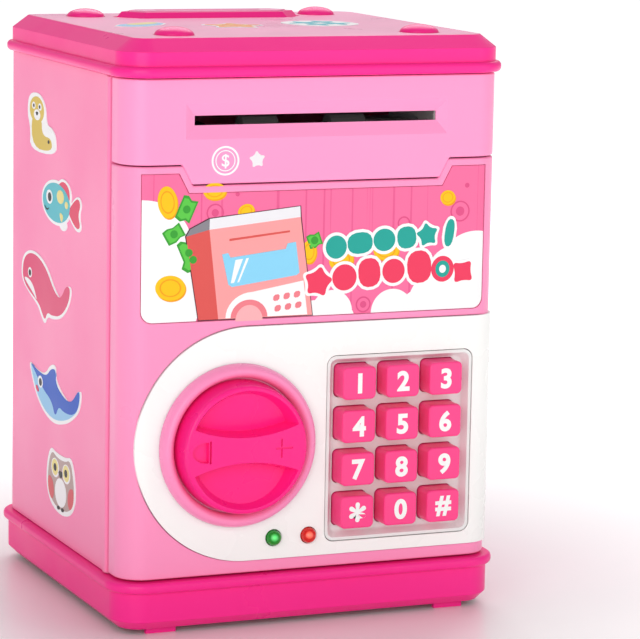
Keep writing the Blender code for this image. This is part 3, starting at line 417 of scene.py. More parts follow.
# The light pink plastic takes a tone per moulding, set to how the light falls on it: the body's sides and
# back get the darkest pink, as painted shade.
light_pink = plastic("light_pink_abs", (0.99, 0.262, 0.485), (0.97, 0.245, 0.465), (0.3, 0.44), sheen=0.28)
body = block("body", (-half_w, shell_low.y, shell_low.z), (half_w, shell_high.y, shell_high.z))
round_edges(body, 9 * mm, lambda m, d: upright(m, d) and m.y > 0, 10)
room = block(
    "room", (-half_w + 2.2 * mm, shell_low.y + 2 * mm, 0), (half_w - 2.2 * mm, shell_high.y - 2.2 * mm, 0.2),
)
round_edges(room, 6.8 * mm, lambda m, d: upright(m, d) and m.y > 0, 8)
mouth = block("mouth", (-54.8 * mm, shell_low.y - 5 * mm, 0), (54.8 * mm, shell_low.y + 5 * mm, 0.2))
carve(body, room, mouth)
for side in (-1, 1):
    x0, x1 = sorted((side * 64.7 * mm, side * 62.9 * mm))
    bead = block(
        "bead",
        (x0, shell_low.y + 0.1 * mm, shell_low.z + 0.2 * mm),
        (x1, shell_low.y + 3.1 * mm, shell_high.z - 0.2 * mm),
    )
    round_edges(bead, 0.65 * mm, lambda m, d: upright(m, d) and abs(m.x) > half_w, 3)
    weld(body, bead)
bay_low, bay_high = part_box("battery_door")
bay = block(
    "bay", (bay_low.x + 1.7 * mm, shell_high.y - 5 * mm, bay_low.z + 1.7 * mm),
    (bay_high.x - 1.7 * mm, shell_high.y + 5 * mm, bay_high.z - 1.7 * mm),
)
bay_step = block(
    "bay_step", (bay_low.x - 0.3 * mm, shell_high.y - 1.2 * mm, bay_low.z - 0.3 * mm),
    (bay_high.x + 0.3 * mm, shell_high.y + 5 * mm, bay_high.z + 0.3 * mm),
)
round_edges(bay_step, 3 * mm, across, 6)
carve(body, bay, bay_step)
grille = None
for row in range(-3, 4):
    for i in range(7 - abs(row)):
        x = (i - (6 - abs(row)) / 2) * 5.2 * mm
        z = 132 * mm + row * 5.2 * 0.866 * mm
        hole = rod(
            "grille_hole", (x, shell_high.y - 5 * mm, z), (x, shell_high.y + 5 * mm, z), 1.3 * mm, sides=12,
        )
        if grille:
            take_up(grille)
            hole.select_set(True)
            bpy.ops.object.join()
        else:
            grille = hole
carve(body, grille)
for sx, sy in four_corners:
    x, y = sx * boss_x, middle_y + sy * boss_y
    post = rod("post", (x, y, shell_low.z), (x, y, 23.6 * mm), 2.5 * mm, 2.3 * mm, sides=32)
    web_x = sorted((x, sx * (half_w - 1 * mm)))
    weld(post, block("web", (web_x[0], y - 0.7 * mm, shell_low.z), (web_x[1], y + 0.7 * mm, 21 * mm)))
    carve(post, rod("pilot", (x, y, 0), (x, y, 21.9 * mm), 1.15 * mm, sides=16))
    weld(body, post)
soften(body, 0.3 * mm, 2)
finish(body, light_pink, "bank", "light_pink", "body_shell")

# ---- the lid ----
# A hot pink frame with the same rolled lip, turned over: the wall leans in to the top, where a light
# plate lies let in between four domed studs. The frame and the studs are one moulding.
lid_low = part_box("lid_frame")[0]
lid_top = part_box("top_plate")[1].z
wall_top = lid_top - 4 * mm
lid_rim, lid_out = 0.5 * mm, 2.3 * mm
lid = slab("lid", lid_rim, lid_low.z + 1 * mm, wall_top)
round_edges(lid, 10.3 * mm, upright, 10)
open_with(lid, "FACE", lambda m, n: n.z > 0.99)
bpy.ops.mesh.inset(thickness=5.2 * mm, use_even_offset=True)
bpy.ops.transform.translate(value=(0, 0, 4 * mm))
bpy.ops.mesh.inset(thickness=1.0 * mm, use_even_offset=True)
bpy.ops.transform.translate(value=(0, 0, -1.9 * mm))
put_down()
lid_lip = slab("lid_lip", lid_out, lid_low.z, lid_low.z + 3.5 * mm)
round_edges(lid_lip, 12 * mm, upright, 10)
soften(lid_lip, 1.45 * mm, 4)
lid_hollow = slab("lid_hollow", -1 * mm, 0.1, wall_top - 2.4 * mm)
round_edges(lid_hollow, 8 * mm, upright, 6)
weld(lid, lid_lip)
carve(lid, lid_hollow)
stud_x, stud_y = 42 * mm, 43 * mm
for sx, sy in four_corners:
    nothing_selected()
    bpy.ops.mesh.primitive_uv_sphere_add(
        segments=40, ring_count=20, radius=6.3 * mm,
        location=(sx * stud_x, middle_y + sy * stud_y, lid_top), scale=(1, 1, 2.6 / 6.3),
    )
    stud = bpy.context.object
    bpy.ops.object.transform_apply(location=True, rotation=True, scale=True)
    open_with(stud, "FACE", lambda m, n: m.z < lid_top)
    bpy.ops.transform.translate(value=(0, 0, -1 * mm))
    put_down()
    weld(lid, stud)
coin_low, coin_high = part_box("coin_slot_frame")
coin_y = (coin_low.y + coin_high.y) / 2


def coin_way():
    """The way that a coin takes down through the lid."""
    return block("coin_way", (-19 * mm, coin_y - 1.6 * mm, 0.17), (19 * mm, coin_y + 1.6 * mm, 0.2))


carve(lid, coin_way())
soften(lid, 0.5 * mm, 3)
finish(lid, hot_pink, "bank", "hot_pink", "lid_frame")

plate_low, plate_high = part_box("top_plate")
top_plate = block("lid_plate", plate_low, plate_high)
round_edges(top_plate, 4 * mm, upright, 6)
for sx, sy in four_corners:
    x, y = sx * stud_x, middle_y + sy * stud_y
    carve(top_plate, rod("stud_room", (x, y, 0.18), (x, y, 0.19), 6.6 * mm))


def long_hexagon(name, length, depth, low, high, top_shrink=0.0):
    """A strip with pointed ends, round the coin slot."""
    piece = block(name, (-length / 2, coin_y - depth / 2, low), (length / 2, coin_y + depth / 2, high))
    tip = min(depth * 0.4, 7 * mm)
    round_edges(piece, tip, upright, 1)
    reshape(piece, "VERT", lambda p: abs(abs(p.x) - length / 2) < 0.01 * mm, (1, 0.02, 1), (0, coin_y, 0))
    if top_shrink:
        shrunk = (1 - 2 * top_shrink / length, 1 - 2 * top_shrink * 0.66 / depth, 1)
        reshape(piece, "FACE", lambda m, n: n.z > 0.99, shrunk, (0, coin_y, 0))
    return piece


carve(top_plate, long_hexagon("coin_seat", 68.6 * mm, 18.6 * mm, 0.18, 0.19))
soften(top_plate, 0.3 * mm, 2)
# The top plate gets the lightest of the light pinks, as painted light on its up-facing face.
plate_pink = plastic("plate_pink_abs", (0.99, 0.37, 0.60), (0.975, 0.345, 0.575), (0.25, 0.36))
finish(top_plate, plate_pink, "bank", "light_pink", "top_plate")

# ---- the coin slot ----
# A hot pink surround with sloped sides stands in its seat in the plate, and a light insert in it
# has the slot. Both clip in from above.
surround = long_hexagon("coin_surround", 68 * mm, 18 * mm, coin_low.z, coin_high.z, 3 * mm)
carve(surround, long_hexagon("coin_window", 58 * mm, 11 * mm, 0.17, 0.2))
soften(surround, 0.4 * mm, 3)
finish(surround, hot_pink, "bank", "hot_pink", "coin_slot_frame")
insert_low, insert_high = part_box("coin_slot_plate")
insert = long_hexagon("coin_insert", 57.4 * mm, 10.4 * mm, insert_low.z, insert_high.z, 0.4 * mm)
carve(insert, coin_way())
soften(insert, 0.25 * mm, 2)
finish(insert, plate_pink, "bank", "light_pink", "coin_slot_plate")

# ---- the upper front panel ----
# A fixed light pink moulding above the door. Its lower edge steps down in the middle, and a shallow
# funnel leads a note into the slot. It clips to the body.
front_low, front_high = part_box("upper_front_panel")
front_y, seam_y = front_low.y, front_high.y


def at_front(middle, direction):
    """The upright edges of the front face."""
    return upright(middle, direction) and middle.y < front_y + 1 * mm


# The upper panel's pink is lighter than the sides', as painted light on the lit front.
upper_pink = plastic("upper_pink_abs", (0.99, 0.335, 0.59), (0.975, 0.31, 0.565), (0.26, 0.38))
upper = block("upper_panel", (-half_w, front_y, 142.4 * mm), (half_w, seam_y, front_high.z))
round_edges(upper, 9 * mm, at_front, 12)
upper_room = block("upper_room", (-half_w + 2.2 * mm, front_y + 2.2 * mm, 0.1), (half_w - 2.2 * mm, 0.1, 0.2))
round_edges(upper_room, 6.8 * mm, lambda m, d: upright(m, d) and m.y < 0, 8)
carve(upper, upper_room)


def shoulder_tool(side, top, bottom, foot_x):
    """The space beside the middle step, with its sloped inner side."""
    tool = block(
        "shoulder", (min(side * 45.5 * mm, side * 90 * mm), -0.1, bottom),
        (max(side * 45.5 * mm, side * 90 * mm), 0.1, top),
    )
    open_with(tool, "VERT", lambda p: p.z < bottom + 0.1 * mm and abs(p.x) < 50 * mm)
    bpy.ops.transform.translate(value=(side * foot_x - side * 45.5 * mm, 0, 0))
    put_down()
    return tool


for side in (-1, 1):
    carve(upper, shoulder_tool(side, 148.6 * mm, 136.2 * mm, 38.9 * mm))
soften(upper, 0.6 * mm, 3)
funnel = block("funnel", (-44.4 * mm, front_y, 156.4 * mm), (44.4 * mm, front_y + 1.7 * mm, 167.6 * mm))
reshape(funnel, "FACE", lambda m, n: n.y > 0.99, (41.3 / 44.4, 1, 3.4 / 11.2), (0, 0, 162.2 * mm))
open_with(funnel, "FACE", lambda m, n: n.y < -0.99)
bpy.ops.mesh.extrude_region_move(TRANSFORM_OT_translate={"value": (0, -1 * mm, 0)})
put_down()
note_slot = block(
    "note_slot", (-41 * mm, front_y - 5 * mm, 160.6 * mm), (41 * mm, front_y + 5 * mm, 163.6 * mm),
)
carve(upper, funnel, note_slot)
soften(upper, 0.18 * mm, 2, 20)
finish(upper, upper_pink, "bank", "light_pink", "upper_front_panel", angle=20)

# ---- the door ----
# A light pink moulding that wraps round both front corners and rolls round its hinge at the right.
# Its top edge follows the step above it; the label and the white panel lie in recesses in its face.
door_low, door_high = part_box("door_panel")
# The door's pink is lighter than the sides', as painted light on the lit front.
door_pink = plastic("door_pink_abs", (0.99, 0.31, 0.545), (0.97, 0.29, 0.525), (0.26, 0.38))
hinge_x, hinge_y = 62 * mm, seam_y - 2 * mm
door = block("door", (-half_w, front_y, door_low.z), (half_w, seam_y, door_high.z))
round_edges(door, 9 * mm, at_front, 12)
round_edges(door, 2 * mm, lambda m, d: upright(m, d) and m.y > seam_y - 1 * mm and m.x > 0, 6)
step_tool = block("step_tool", (-45.1 * mm, -0.1, 142.0 * mm), (45.1 * mm, 0.1, 154.4 * mm))
reshape(step_tool, "VERT", lambda p: p.z < 143 * mm, (41.8 / 45.1, 1, 1), (0, 0, 0))
reshape(step_tool, "VERT", lambda p: p.z > 143 * mm, (48.4 / 45.1, 1, 1), (0, 0, 0))
carve(door, step_tool)
soften(door, 0.6 * mm, 3)
door_room = block(
    "door_room", (-half_w + 2.2 * mm, front_y + 2.2 * mm, door_low.z + 2.2 * mm),
    (59.8 * mm, 0.1, 139.8 * mm),
)
round_edges(door_room, 6 * mm, lambda m, d: upright(m, d) and m.y < 0, 6)
pin_room = rod("pin_room", (hinge_x, hinge_y, 0), (hinge_x, hinge_y, door_low.z + 8 * mm), 1.4 * mm, sides=20)
pin_top = rod(
    "pin_top", (hinge_x, hinge_y, door_high.z - 9 * mm), (hinge_x, hinge_y, 0.2), 1.4 * mm, sides=20,
)
carve(door, door_room, pin_room, pin_top)


def front_skin(name, outer, inner, low, high):
    """A band that follows the front round both corners, between two offsets from the face."""
    band = block(name, (-half_w - outer, front_y - outer, low), (half_w + outer, seam_y, high))
    round_edges(band, 9 * mm + outer, at_front, 12)
    core = block(
        "core", (-half_w - inner, front_y - inner, low - 1 * mm),
        (half_w + inner, seam_y + 5 * mm, high + 1 * mm),
    )
    round_edges(core, 9 * mm + inner, at_front, 12)
    return carve(band, core)


def label_blank(name, grow):
    """The label's outline as a block through the door: rounded below, stepped above."""
    half, low, top = 58.4 * mm + grow, 99.6 * mm - grow, 145.8 * mm + grow
    blank = block(name, (-half, -0.1, low), (half, 0, top))
    round_edges(blank, 3.5 * mm, lambda m, d: abs(d.y) > 0.99 and m.z < low + 1 * mm, 6)
    dip = block("dip", (-46.6 * mm + grow, -0.2, 139.6 * mm + grow), (46.6 * mm - grow, 0.1, 152 * mm + grow))
    reshape(dip, "VERT", lambda p: p.z < 145 * mm, (43.3 / 46.6, 1, 1), (0, 0, 0))
    reshape(dip, "VERT", lambda p: p.z > 145 * mm, (49.9 / 46.6, 1, 1), (0, 0, 0))
    return carve(blank, dip)


def panel_blank(name, grow, right_end):
    """The white panel's outline as a block: a half round at the left."""
    blank = block(name, (-60.1 * mm - grow, -0.1, 22 * mm - grow), (right_end, 0, 97.2 * mm + grow))
    round_edges(blank, 37.5 * mm + grow, lambda m, d: abs(d.y) > 0.99 and m.x < 0, 40)
    return blank


label_seat = keep_inside(
    front_skin("label_seat", 5 * mm, -0.9 * mm, 98 * mm, 147 * mm),
    label_blank("label_seat_shape", 0.25 * mm),
)
panel_seat = keep_inside(
    front_skin("panel_seat", 5 * mm, -1.2 * mm, 20 * mm, 99 * mm),
    panel_blank("panel_seat_shape", 0.3 * mm, 90 * mm),
)
panel_edge_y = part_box("control_panel")[1].y
seat_end = block("seat_end", (0.04, panel_edge_y + 0.3 * mm, 0), (0.1, 0.1, 0.2))
carve(panel_seat, seat_end)
carve(door, label_seat, panel_seat)
window = panel_blank("window", -3 * mm, 56 * mm)
carve(door, window)
soften(door, 0.15 * mm, 2, 45)
finish(door, door_pink, "door", "light_pink", "door_panel")

# ---- the control panel ----
# A white moulding, round at the left and wrapped round the right corner. It clips into the door and
# stands 0.8 mm proud, with a soft edge all round.
white = plastic("white_abs", (0.95, 0.955, 0.93), (0.93, 0.93, 0.905), (0.22, 0.34))
knob_x, knob_z = -26.4 * mm, 59.6 * mm
panel = keep_inside(
    front_skin("white_panel", 0.8 * mm, -0.9 * mm, 20 * mm, 99 * mm),
    panel_blank("white_panel_shape", 0, 90 * mm),
)
panel_end = block("panel_end", (0.04, panel_edge_y, 0), (0.1, 0.1, 0.2))
carve(panel, panel_end)
tray_low, tray_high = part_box("keypad_tray")
tray_window = block(
    "tray_window", (tray_low.x - 0.3 * mm, -0.1, tray_low.z - 0.3 * mm),
    (tray_high.x + 0.3 * mm, 0, tray_high.z + 0.3 * mm),
)
round_edges(tray_window, 3.3 * mm, across, 6)
carve(
    panel,
    rod("shaft_hole", (knob_x, -0.1, knob_z), (knob_x, 0, knob_z), 4 * mm),
    rod("green_hole", (-13.5 * mm, -0.1, 28.8 * mm), (-13.5 * mm, 0, 28.8 * mm), 2.8 * mm, sides=32),
    rod("red_hole", (-1.5 * mm, -0.1, 28.8 * mm), (-1.5 * mm, 0, 28.8 * mm), 2.8 * mm, sides=32),
    tray_window,
)
soften(panel, 0.5 * mm, 3, 45)
finish(panel, white, "door", "white", "control_panel")

# ---- the ring and the knob ----
# A half-round light pink ring stands on the panel. In it turns the hot pink knob: a drum with an
# upper and a lower scoop, which leave a waisted bar between them for finger and thumb.
ring_low, ring_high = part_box("knob_ring")
nothing_selected()
bpy.ops.mesh.primitive_torus_add(
    major_segments=96, minor_segments=32, major_radius=23.95 * mm, minor_radius=2.25 * mm,
    location=(knob_x, ring_high.y, knob_z), rotation=(pi / 2, 0, 0),
)
ring = bpy.context.object
ring.name = "knob_ring_piece"
bpy.ops.object.transform_apply(location=True, rotation=True, scale=True)
open_with(ring, "VERT", lambda p: True)
bpy.ops.transform.resize(
    value=(1, (ring_high.y - ring_low.y) / (2.25 * mm), 1), center_override=(knob_x, ring_high.y, knob_z),
)
bpy.ops.mesh.select_all(action="SELECT")
bpy.ops.mesh.bisect(plane_co=(0, ring_high.y, 0), plane_no=(0, 1, 0), use_fill=True, clear_outer=True)
put_down()
ring_floor = rod(
    "ring_floor", (knob_x, ring_high.y + 0.3 * mm, knob_z), (knob_x, ring_high.y + 0.15 * mm, knob_z),
    23 * mm, sides=96,
)
carve(ring_floor, rod("ring_bore", (knob_x, -0.1, knob_z), (knob_x, 0, knob_z), 15 * mm, sides=96))
weld(ring, ring_floor)
# The ring takes a pink lighter than the sides', as painted light on the lit front.
ring_pink = plastic("ring_pink_abs", (0.985, 0.30, 0.55), (0.965, 0.275, 0.52), (0.24, 0.34))
finish(ring, ring_pink, "door", "light_pink", "knob_ring")

knob_low, knob_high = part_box("knob")
face_y, back_y = knob_low.y, knob_high.y
knob = rod("knob_piece", (knob_x, back_y, knob_z), (knob_x, face_y, knob_z), 21.3 * mm, 20.4 * mm, sides=128)
round_edges(knob, 1.1 * mm, lambda m, d: m.y < face_y + 0.1 * mm, 4)
floor_y = face_y + 5.2 * mm
for side in (-1, 1):
    scoop = rod(
        "scoop", (knob_x, face_y - 1 * mm, knob_z), (knob_x, floor_y, knob_z), 19.4 * mm, 16.4 * mm, sides=96,
    )
    bow_z = knob_z + side * 50.8 * mm
    bow = rod(
        "bow", (knob_x, face_y - 2 * mm, bow_z), (knob_x, floor_y + 1 * mm, bow_z), 47.3 * mm, 45.2 * mm,
        sides=192,
    )
    keep_inside(scoop, bow)
    take_up(scoop)
    bpy.ops.object.mode_set(mode="EDIT")
    bpy.ops.mesh.select_all(action="SELECT")
    bpy.ops.mesh.bisect(
        plane_co=(
            knob_x, floor_y, knob_z + side * 6 * mm,
        ), plane_no=(0, 0.98, side * 0.2), use_fill=True, clear_outer=True,
    )
    put_down()
    soften(scoop, 1.7 * mm, 6, 25)
    carve(knob, scoop)
half_round = rod(
    "half_round", (knob_x - 13.2 * mm, face_y - 1 * mm, knob_z),
    (knob_x - 13.2 * mm, face_y + 1.4 * mm, knob_z), 3.3 * mm, sides=32,
)
reshape(half_round, "VERT", lambda p: True, (1.5, 1, 1), (knob_x - 13.2 * mm, 0, 0))
carve(half_round, block("straight_side", (knob_x - 12.8 * mm, -0.1, 0), (0.1, 0, 0.1)))
mark_line = block(
    "mark_line", (knob_x - 12.5 * mm, face_y - 1 * mm, knob_z - 3.6 * mm),
    (knob_x - 11.9 * mm, face_y + 0.9 * mm, knob_z + 3.6 * mm),
)
mark_right = block(
    "mark_right", (knob_x + 9.8 * mm, face_y - 1 * mm, knob_z - 0.3 * mm),
    (knob_x + 15.4 * mm, face_y + 0.5 * mm, knob_z + 0.3 * mm),
)
mark_stem = block(
    "mark_stem", (knob_x + 11.4 * mm, face_y - 1 * mm, knob_z - 3.0 * mm),
    (knob_x + 11.9 * mm, face_y + 0.55 * mm, knob_z + 3.0 * mm),
)
socket = rod("socket", (knob_x, back_y + 1 * mm, knob_z), (knob_x, back_y - 4 * mm, knob_z), 4 * mm)
carve(knob, half_round, mark_line, mark_right, mark_stem, socket)
soften(knob, 0.3 * mm, 3, 38)
knob_pink = plastic("knob_pink_abs", (1.0, 0.014, 0.25), (0.97, 0.012, 0.23), (0.24, 0.34), sheen=0.3)
finish(knob, knob_pink, "knob_and_latch", "hot_pink", "knob", angle=40)

# ---- the keypad ----
# Twelve rose keys stand in a warm grey tray, each with its own flange behind it. Their numbers are
# moulded in white through the key's face.
tray_grey = plastic("tray_grey_abs", (0.84, 0.86, 0.84), (0.80, 0.82, 0.80), (0.35, 0.5), 900, 0.06)
tray_floor_y = front_y - 0.8 * mm + 3 * mm
tray = block("keypad_dish", tray_low, tray_high)
round_edges(tray, 3 * mm, across, 8)
dish = block(
    "dish", (tray_low.x + 0.7 * mm, tray_low.y - 0.1 * mm, tray_low.z + 0.7 * mm),
    (tray_high.x - 0.7 * mm, tray_floor_y, tray_high.z - 0.7 * mm),
)
round_edges(dish, 2.4 * mm, across, 8)
dish_middle = ((tray_low.x + tray_high.x) / 2, 0, (tray_low.z + tray_high.z) / 2)
reshape(dish, "FACE", lambda m, n: n.y > 0.99, (0.93, 1, 0.94), dish_middle)
soften(dish, 0.6 * mm, 3, 40)
carve(tray, dish)
key_names = ("1", "2", "3", "4", "5", "6", "7", "8", "9", "star", "0", "hash")
for name in key_names:
    low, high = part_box(f"key_{name}")
    key_hole = block(
        "key_hole", (low.x + 0.3 * mm, -0.1, low.z + 0.3 * mm), (high.x - 0.3 * mm, 0, high.z - 0.3 * mm),
    )
    round_edges(key_hole, 1.8 * mm, across, 5)
    carve(tray, key_hole)
soften(tray, 0.2 * mm, 2, 45)
finish(tray, tray_grey, "door", "grey", "keypad_tray")

key_rose = plastic("key_rose_abs", (1.0, 0.062, 0.27), (0.97, 0.055, 0.25), (0.28, 0.42))
print_white = plastic("print_white_ink", (0.94, 0.94, 0.93), (0.91, 0.91, 0.90), (0.35, 0.45))
first_low, first_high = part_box("key_1")
key_model = block(
    "key_model", (first_low.x + 0.6 * mm, first_low.y, first_low.z + 0.6 * mm),
    (first_high.x - 0.6 * mm, first_high.y - 0.9 * mm, first_high.z - 0.6 * mm),
)
round_edges(key_model, 1.7 * mm, across, 6)
round_edges(key_model, 0.75 * mm, lambda m, d: m.y < first_low.y + 0.01 * mm, 4)
key_flange = block("key_flange", (first_low.x, first_high.y - 0.8 * mm, first_low.z), first_high)
round_edges(key_flange, 1.6 * mm, across, 4)
key_neck = block(
    "key_neck", (first_low.x + 1.6 * mm, first_high.y - 2 * mm, first_low.z + 1.6 * mm),
    (first_high.x - 1.6 * mm, first_high.y - 0.4 * mm, first_high.z - 1.6 * mm),
)
weld(key_model, key_neck, key_flange)
finish(key_model, key_rose, "key_1_cap", "key_pink", "key_1")
key_model.name = "key_cap_1"
glyphs = {"star": "*", "hash": "#"}
for name in key_names:
    low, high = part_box(f"key_{name}")
    if name != "1":
        cap = key_model.copy()
        cap.data = key_model.data.copy()
        bpy.context.collection.objects.link(cap)
        cap.data.transform(Matrix.Translation(low - first_low))
        cap.name = f"key_cap_{name}"
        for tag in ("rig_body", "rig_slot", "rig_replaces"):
            del cap[tag]
        cap.parent = None
        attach(cap, f"key_{name}_cap")
        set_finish(cap, "key_pink")
        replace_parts(cap, f"key_{name}")
    mid_x, mid_z = (low.x + high.x) / 2, (low.z + high.z) / 2
    nothing_selected()
    bpy.ops.object.text_add(location=(mid_x, low.y + 0.12 * mm, mid_z), rotation=(pi / 2, 0, 0))
    figure = bpy.context.object
    figure.name = f"key_figure_{name}"
    figure.data.body = glyphs.get(name, name)
    figure.data.size = 8.6 * mm if name != "star" else 13 * mm
    figure.data.align_x, figure.data.align_y = "CENTER", "CENTER"
    figure.data.offset = 0.32 * mm
    figure.data.extrude = 0.2 * mm
    figure.data.resolution_u = 6
    bpy.ops.object.convert(target="MESH")
    bpy.ops.object.transform_apply(location=True, rotation=True, scale=True)
    corners = [v.co for v in figure.data.vertices]
    shift_x = mid_x - (min(c.x for c in corners) + max(c.x for c in corners)) / 2
    shift_z = mid_z - (min(c.z for c in corners) + max(c.z for c in corners)) / 2
    figure.data.transform(Matrix.Translation((shift_x, 0, shift_z)))
    finish(figure, print_white, f"key_{name}_cap", "key_pink")

# ---- the LEDs ----
# A green and a red 5 mm LED, moulded in tinted clear epoxy with a flange behind. They press into
# the white panel from behind and glow when the bank is awake.
def lens(name, colour, core, node):
    """Tinted epoxy that glows, brightest round a point 0.6 mm left of and above the middle of its front."""
    made = plastic(name, colour, [c * 0.8 for c in colour], (0.06, 0.14), 2400, 0.01, coat=0.25)
    tree = made.node_tree
    shader = tree.nodes["Principled BSDF"]
    shader.inputs["Emission Strength"].default_value = 1.0
    low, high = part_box(node)
    place = add_node(tree, "TexCoord")
    glow_spot = ((low.x + high.x) / 2 - 0.0006, low.y, (low.z + high.z) / 2 + 0.0006)
    to_glow_spot = add_node(tree, "VectorMath", {1: glow_spot}, operation="DISTANCE")
    fall_off = {"From Min": 0.2 * mm, "From Max": 1.5 * mm, "To Min": 1, "To Max": 0}
    reach = add_node(tree, "MapRange", fall_off)
    shine_ends = {"A": (*[c * 0.12 for c in colour], 1), "B": (*core, 1)}
    shine = add_node(tree, "Mix", shine_ends, data_type="RGBA")
    wire(
        tree,
        (place, "Object", to_glow_spot, 0),
        (to_glow_spot, "Value", reach, "Value"),
        (reach, "Result", shine, "Factor"),
        (shine, "Result", shader, "Emission Color"),
    )
    return made


for colour_name, colour, core in (
    ("green", (0.004, 0.26, 0.015), (0.16, 0.9, 0.24)),
    ("red", (0.66, 0.012, 0.006), (1.0, 0.26, 0.16)),
):
    low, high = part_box(f"led_{colour_name}")
    mid_x, mid_z = (low.x + high.x) / 2, (low.z + high.z) / 2
    flange = rod(
        f"led_{colour_name}_lamp", (mid_x, high.y, mid_z), (mid_x, high.y - 1 * mm, mid_z), 2.9 * mm,
        sides=40,
    )
    barrel = rod(
        "barrel", (mid_x, high.y - 0.5 * mm, mid_z), (mid_x, low.y + 2.5 * mm, mid_z), 2.5 * mm, sides=40,
    )
    nothing_selected()
    bpy.ops.mesh.primitive_uv_sphere_add(
        segments=40, ring_count=20, radius=2.5 * mm, location=(
            mid_x, low.y + 2.5 * mm, mid_z,
        ), rotation=(pi / 2, 0, 0)
    )
    dome = bpy.context.object
    bpy.ops.object.transform_apply(location=True, rotation=True, scale=True)
    weld(flange, barrel, dome)
    soften(flange, 0.15 * mm, 2, 50)
    finish(
        flange, lens(f"{colour_name}_epoxy", colour, core, f"led_{colour_name}"), "door",
        f"{colour_name}_lens", f"led_{colour_name}",
    )

# ---- the label ----
# A printed vinyl label in its own recess across the top of the door. Its picture is laid down in
# coats of ink: a pink sky with clouds, coins and notes, and a small safe with bright shapes beside it.
skin_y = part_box("door_label")[0].y
on_label = Matrix(((1, 0, 0, 0), (0, 0, -1, skin_y), (0, 1, 0, 0), (0, 0, 0, 1)))


def ink(name, colour, drift=0.93):
    """An opaque printing ink with a satin skin."""
    return plastic(name, colour, [c * drift for c in colour], (0.36, 0.48), 2600, 0.012, sheen=0.2)


def turned(points, u, v, turn):
    """Points turned by so many degrees and carried to a place on the face."""
    c, s = cos(radians(turn)), sin(radians(turn))
    return [(u + a * c - b * s, v + a * s + b * c) for a, b in points]


def oval(u, v, half_u, half_v, turn=0, sides=36):
    """The outline of an oval in millimetres, turned by so many degrees."""
    around = [2 * pi * i / sides for i in range(sides)]
    return turned([(half_u * cos(a), half_v * sin(a)) for a in around], u, v, turn)


def eased(outline, rounds=2):
    """An outline with its corners cut again and again, until they run round."""
    for _ in range(rounds):
        pairs = list(zip(outline, outline[1:] + outline[:1]))
        outline = [
            (a * near + c * (1 - near), b * near + d * (1 - near))
            for (a, b), (c, d) in pairs for near in (0.75, 0.25)
        ]
    return outline


def grown(outline, by):
    """An outline pushed outwards from its middle."""
    mid_u = sum(p[0] for p in outline) / len(outline)
    mid_v = sum(p[1] for p in outline) / len(outline)
    away = [max(1, ((u - mid_u) ** 2 + (v - mid_v) ** 2) ** 0.5) for u, v in outline]
    return [(u + (u - mid_u) * by / r, v + (v - mid_v) * by / r) for (u, v), r in zip(outline, away)]


def card(outline, top, face, margin=0.0, base=-0.02, hole=None):
    """A thin flat shape in millimetres, raised off the face that it is stuck to or printed on."""
    turning = sum(a * d - c * b for (a, b), (c, d) in zip(outline, outline[1:] + outline[:1]))
    if turning < 0:
        outline = outline[::-1]
    nothing_selected()
    bpy.ops.mesh.primitive_circle_add(vertices=len(outline), radius=1, fill_type="NGON")
    piece = bpy.context.object
    for corner, (u, v) in zip(piece.data.vertices, outline):
        corner.co = (u * mm, v * mm, base * mm)
    bpy.ops.object.mode_set(mode="EDIT")
    bpy.ops.mesh.select_all(action="SELECT")
    if margin:
        bpy.ops.mesh.inset(thickness=margin * mm, use_even_offset=True)
        bpy.ops.mesh.select_all(action="INVERT")
        bpy.ops.mesh.delete(type="FACE")
        bpy.ops.mesh.select_all(action="SELECT")
    bpy.ops.mesh.extrude_region_move(TRANSFORM_OT_translate={"value": (0, 0, (top - base) * mm)})
    bpy.ops.mesh.select_all(action="SELECT")
    bpy.ops.mesh.normals_make_consistent(inside=False)
    bpy.ops.object.mode_set(mode="OBJECT")
    if hole:
        carve(piece, card(hole, top + 1, Matrix(), base=base - 1))
    piece.data.transform(face)
    return piece


def together(name, cards):
    """Several cards of one ink as one piece."""
    weld(cards[0], *cards[1:])
    cards[0].name = cards[0].data.name = name
    return cards[0]


def flat(top, *outlines, margin=0.0):
    """Cards of one height on the label."""
    return [card(outline, top, on_label, margin) for outline in outlines]


def printed(name, cards, colour):
    """Cards of one ink, laid down on the label as one piece."""
    finish(together(name, cards), colour, "door", "label_print")


sky = ink("sky_ink", (0.93, 0.17, 0.36))
sky_tree = sky.node_tree
sky_place = add_node(sky_tree, "TexCoord")
sky_stretch = add_node(sky_tree, "Mapping", {"Scale": (1, 0, 0.004)})
sky_rain = add_node(sky_tree, "TexNoise", {"Scale": 700, "Detail": 1})
sky_cut = add_node(sky_tree, "MapRange", {"From Min": 0.66, "From Max": 0.68})
sky_mix = add_node(sky_tree, "Mix", {"B": (0.80, 0.11, 0.28, 1)}, data_type="RGBA")
wire(
    sky_tree,
    (sky_place, "Object", sky_stretch, "Vector"),
    (sky_stretch, "Vector", sky_rain, "Vector"),
    (sky_rain, "Fac", sky_cut, "Value"),
    (sky_cut, "Result", sky_mix, "Factor"),
    (sky_tree.nodes["Group"], "Colour", sky_mix, "A"),
    (sky_mix, "Result", sky_tree.nodes["Principled BSDF"], "Base Color"),
)
label = keep_inside(
    front_skin("label", -0.2 * mm, -0.85 * mm, 98 * mm, 147 * mm), label_blank("label_shape", 0),
)
finish(label, sky, "door", "label_print", "door_label")

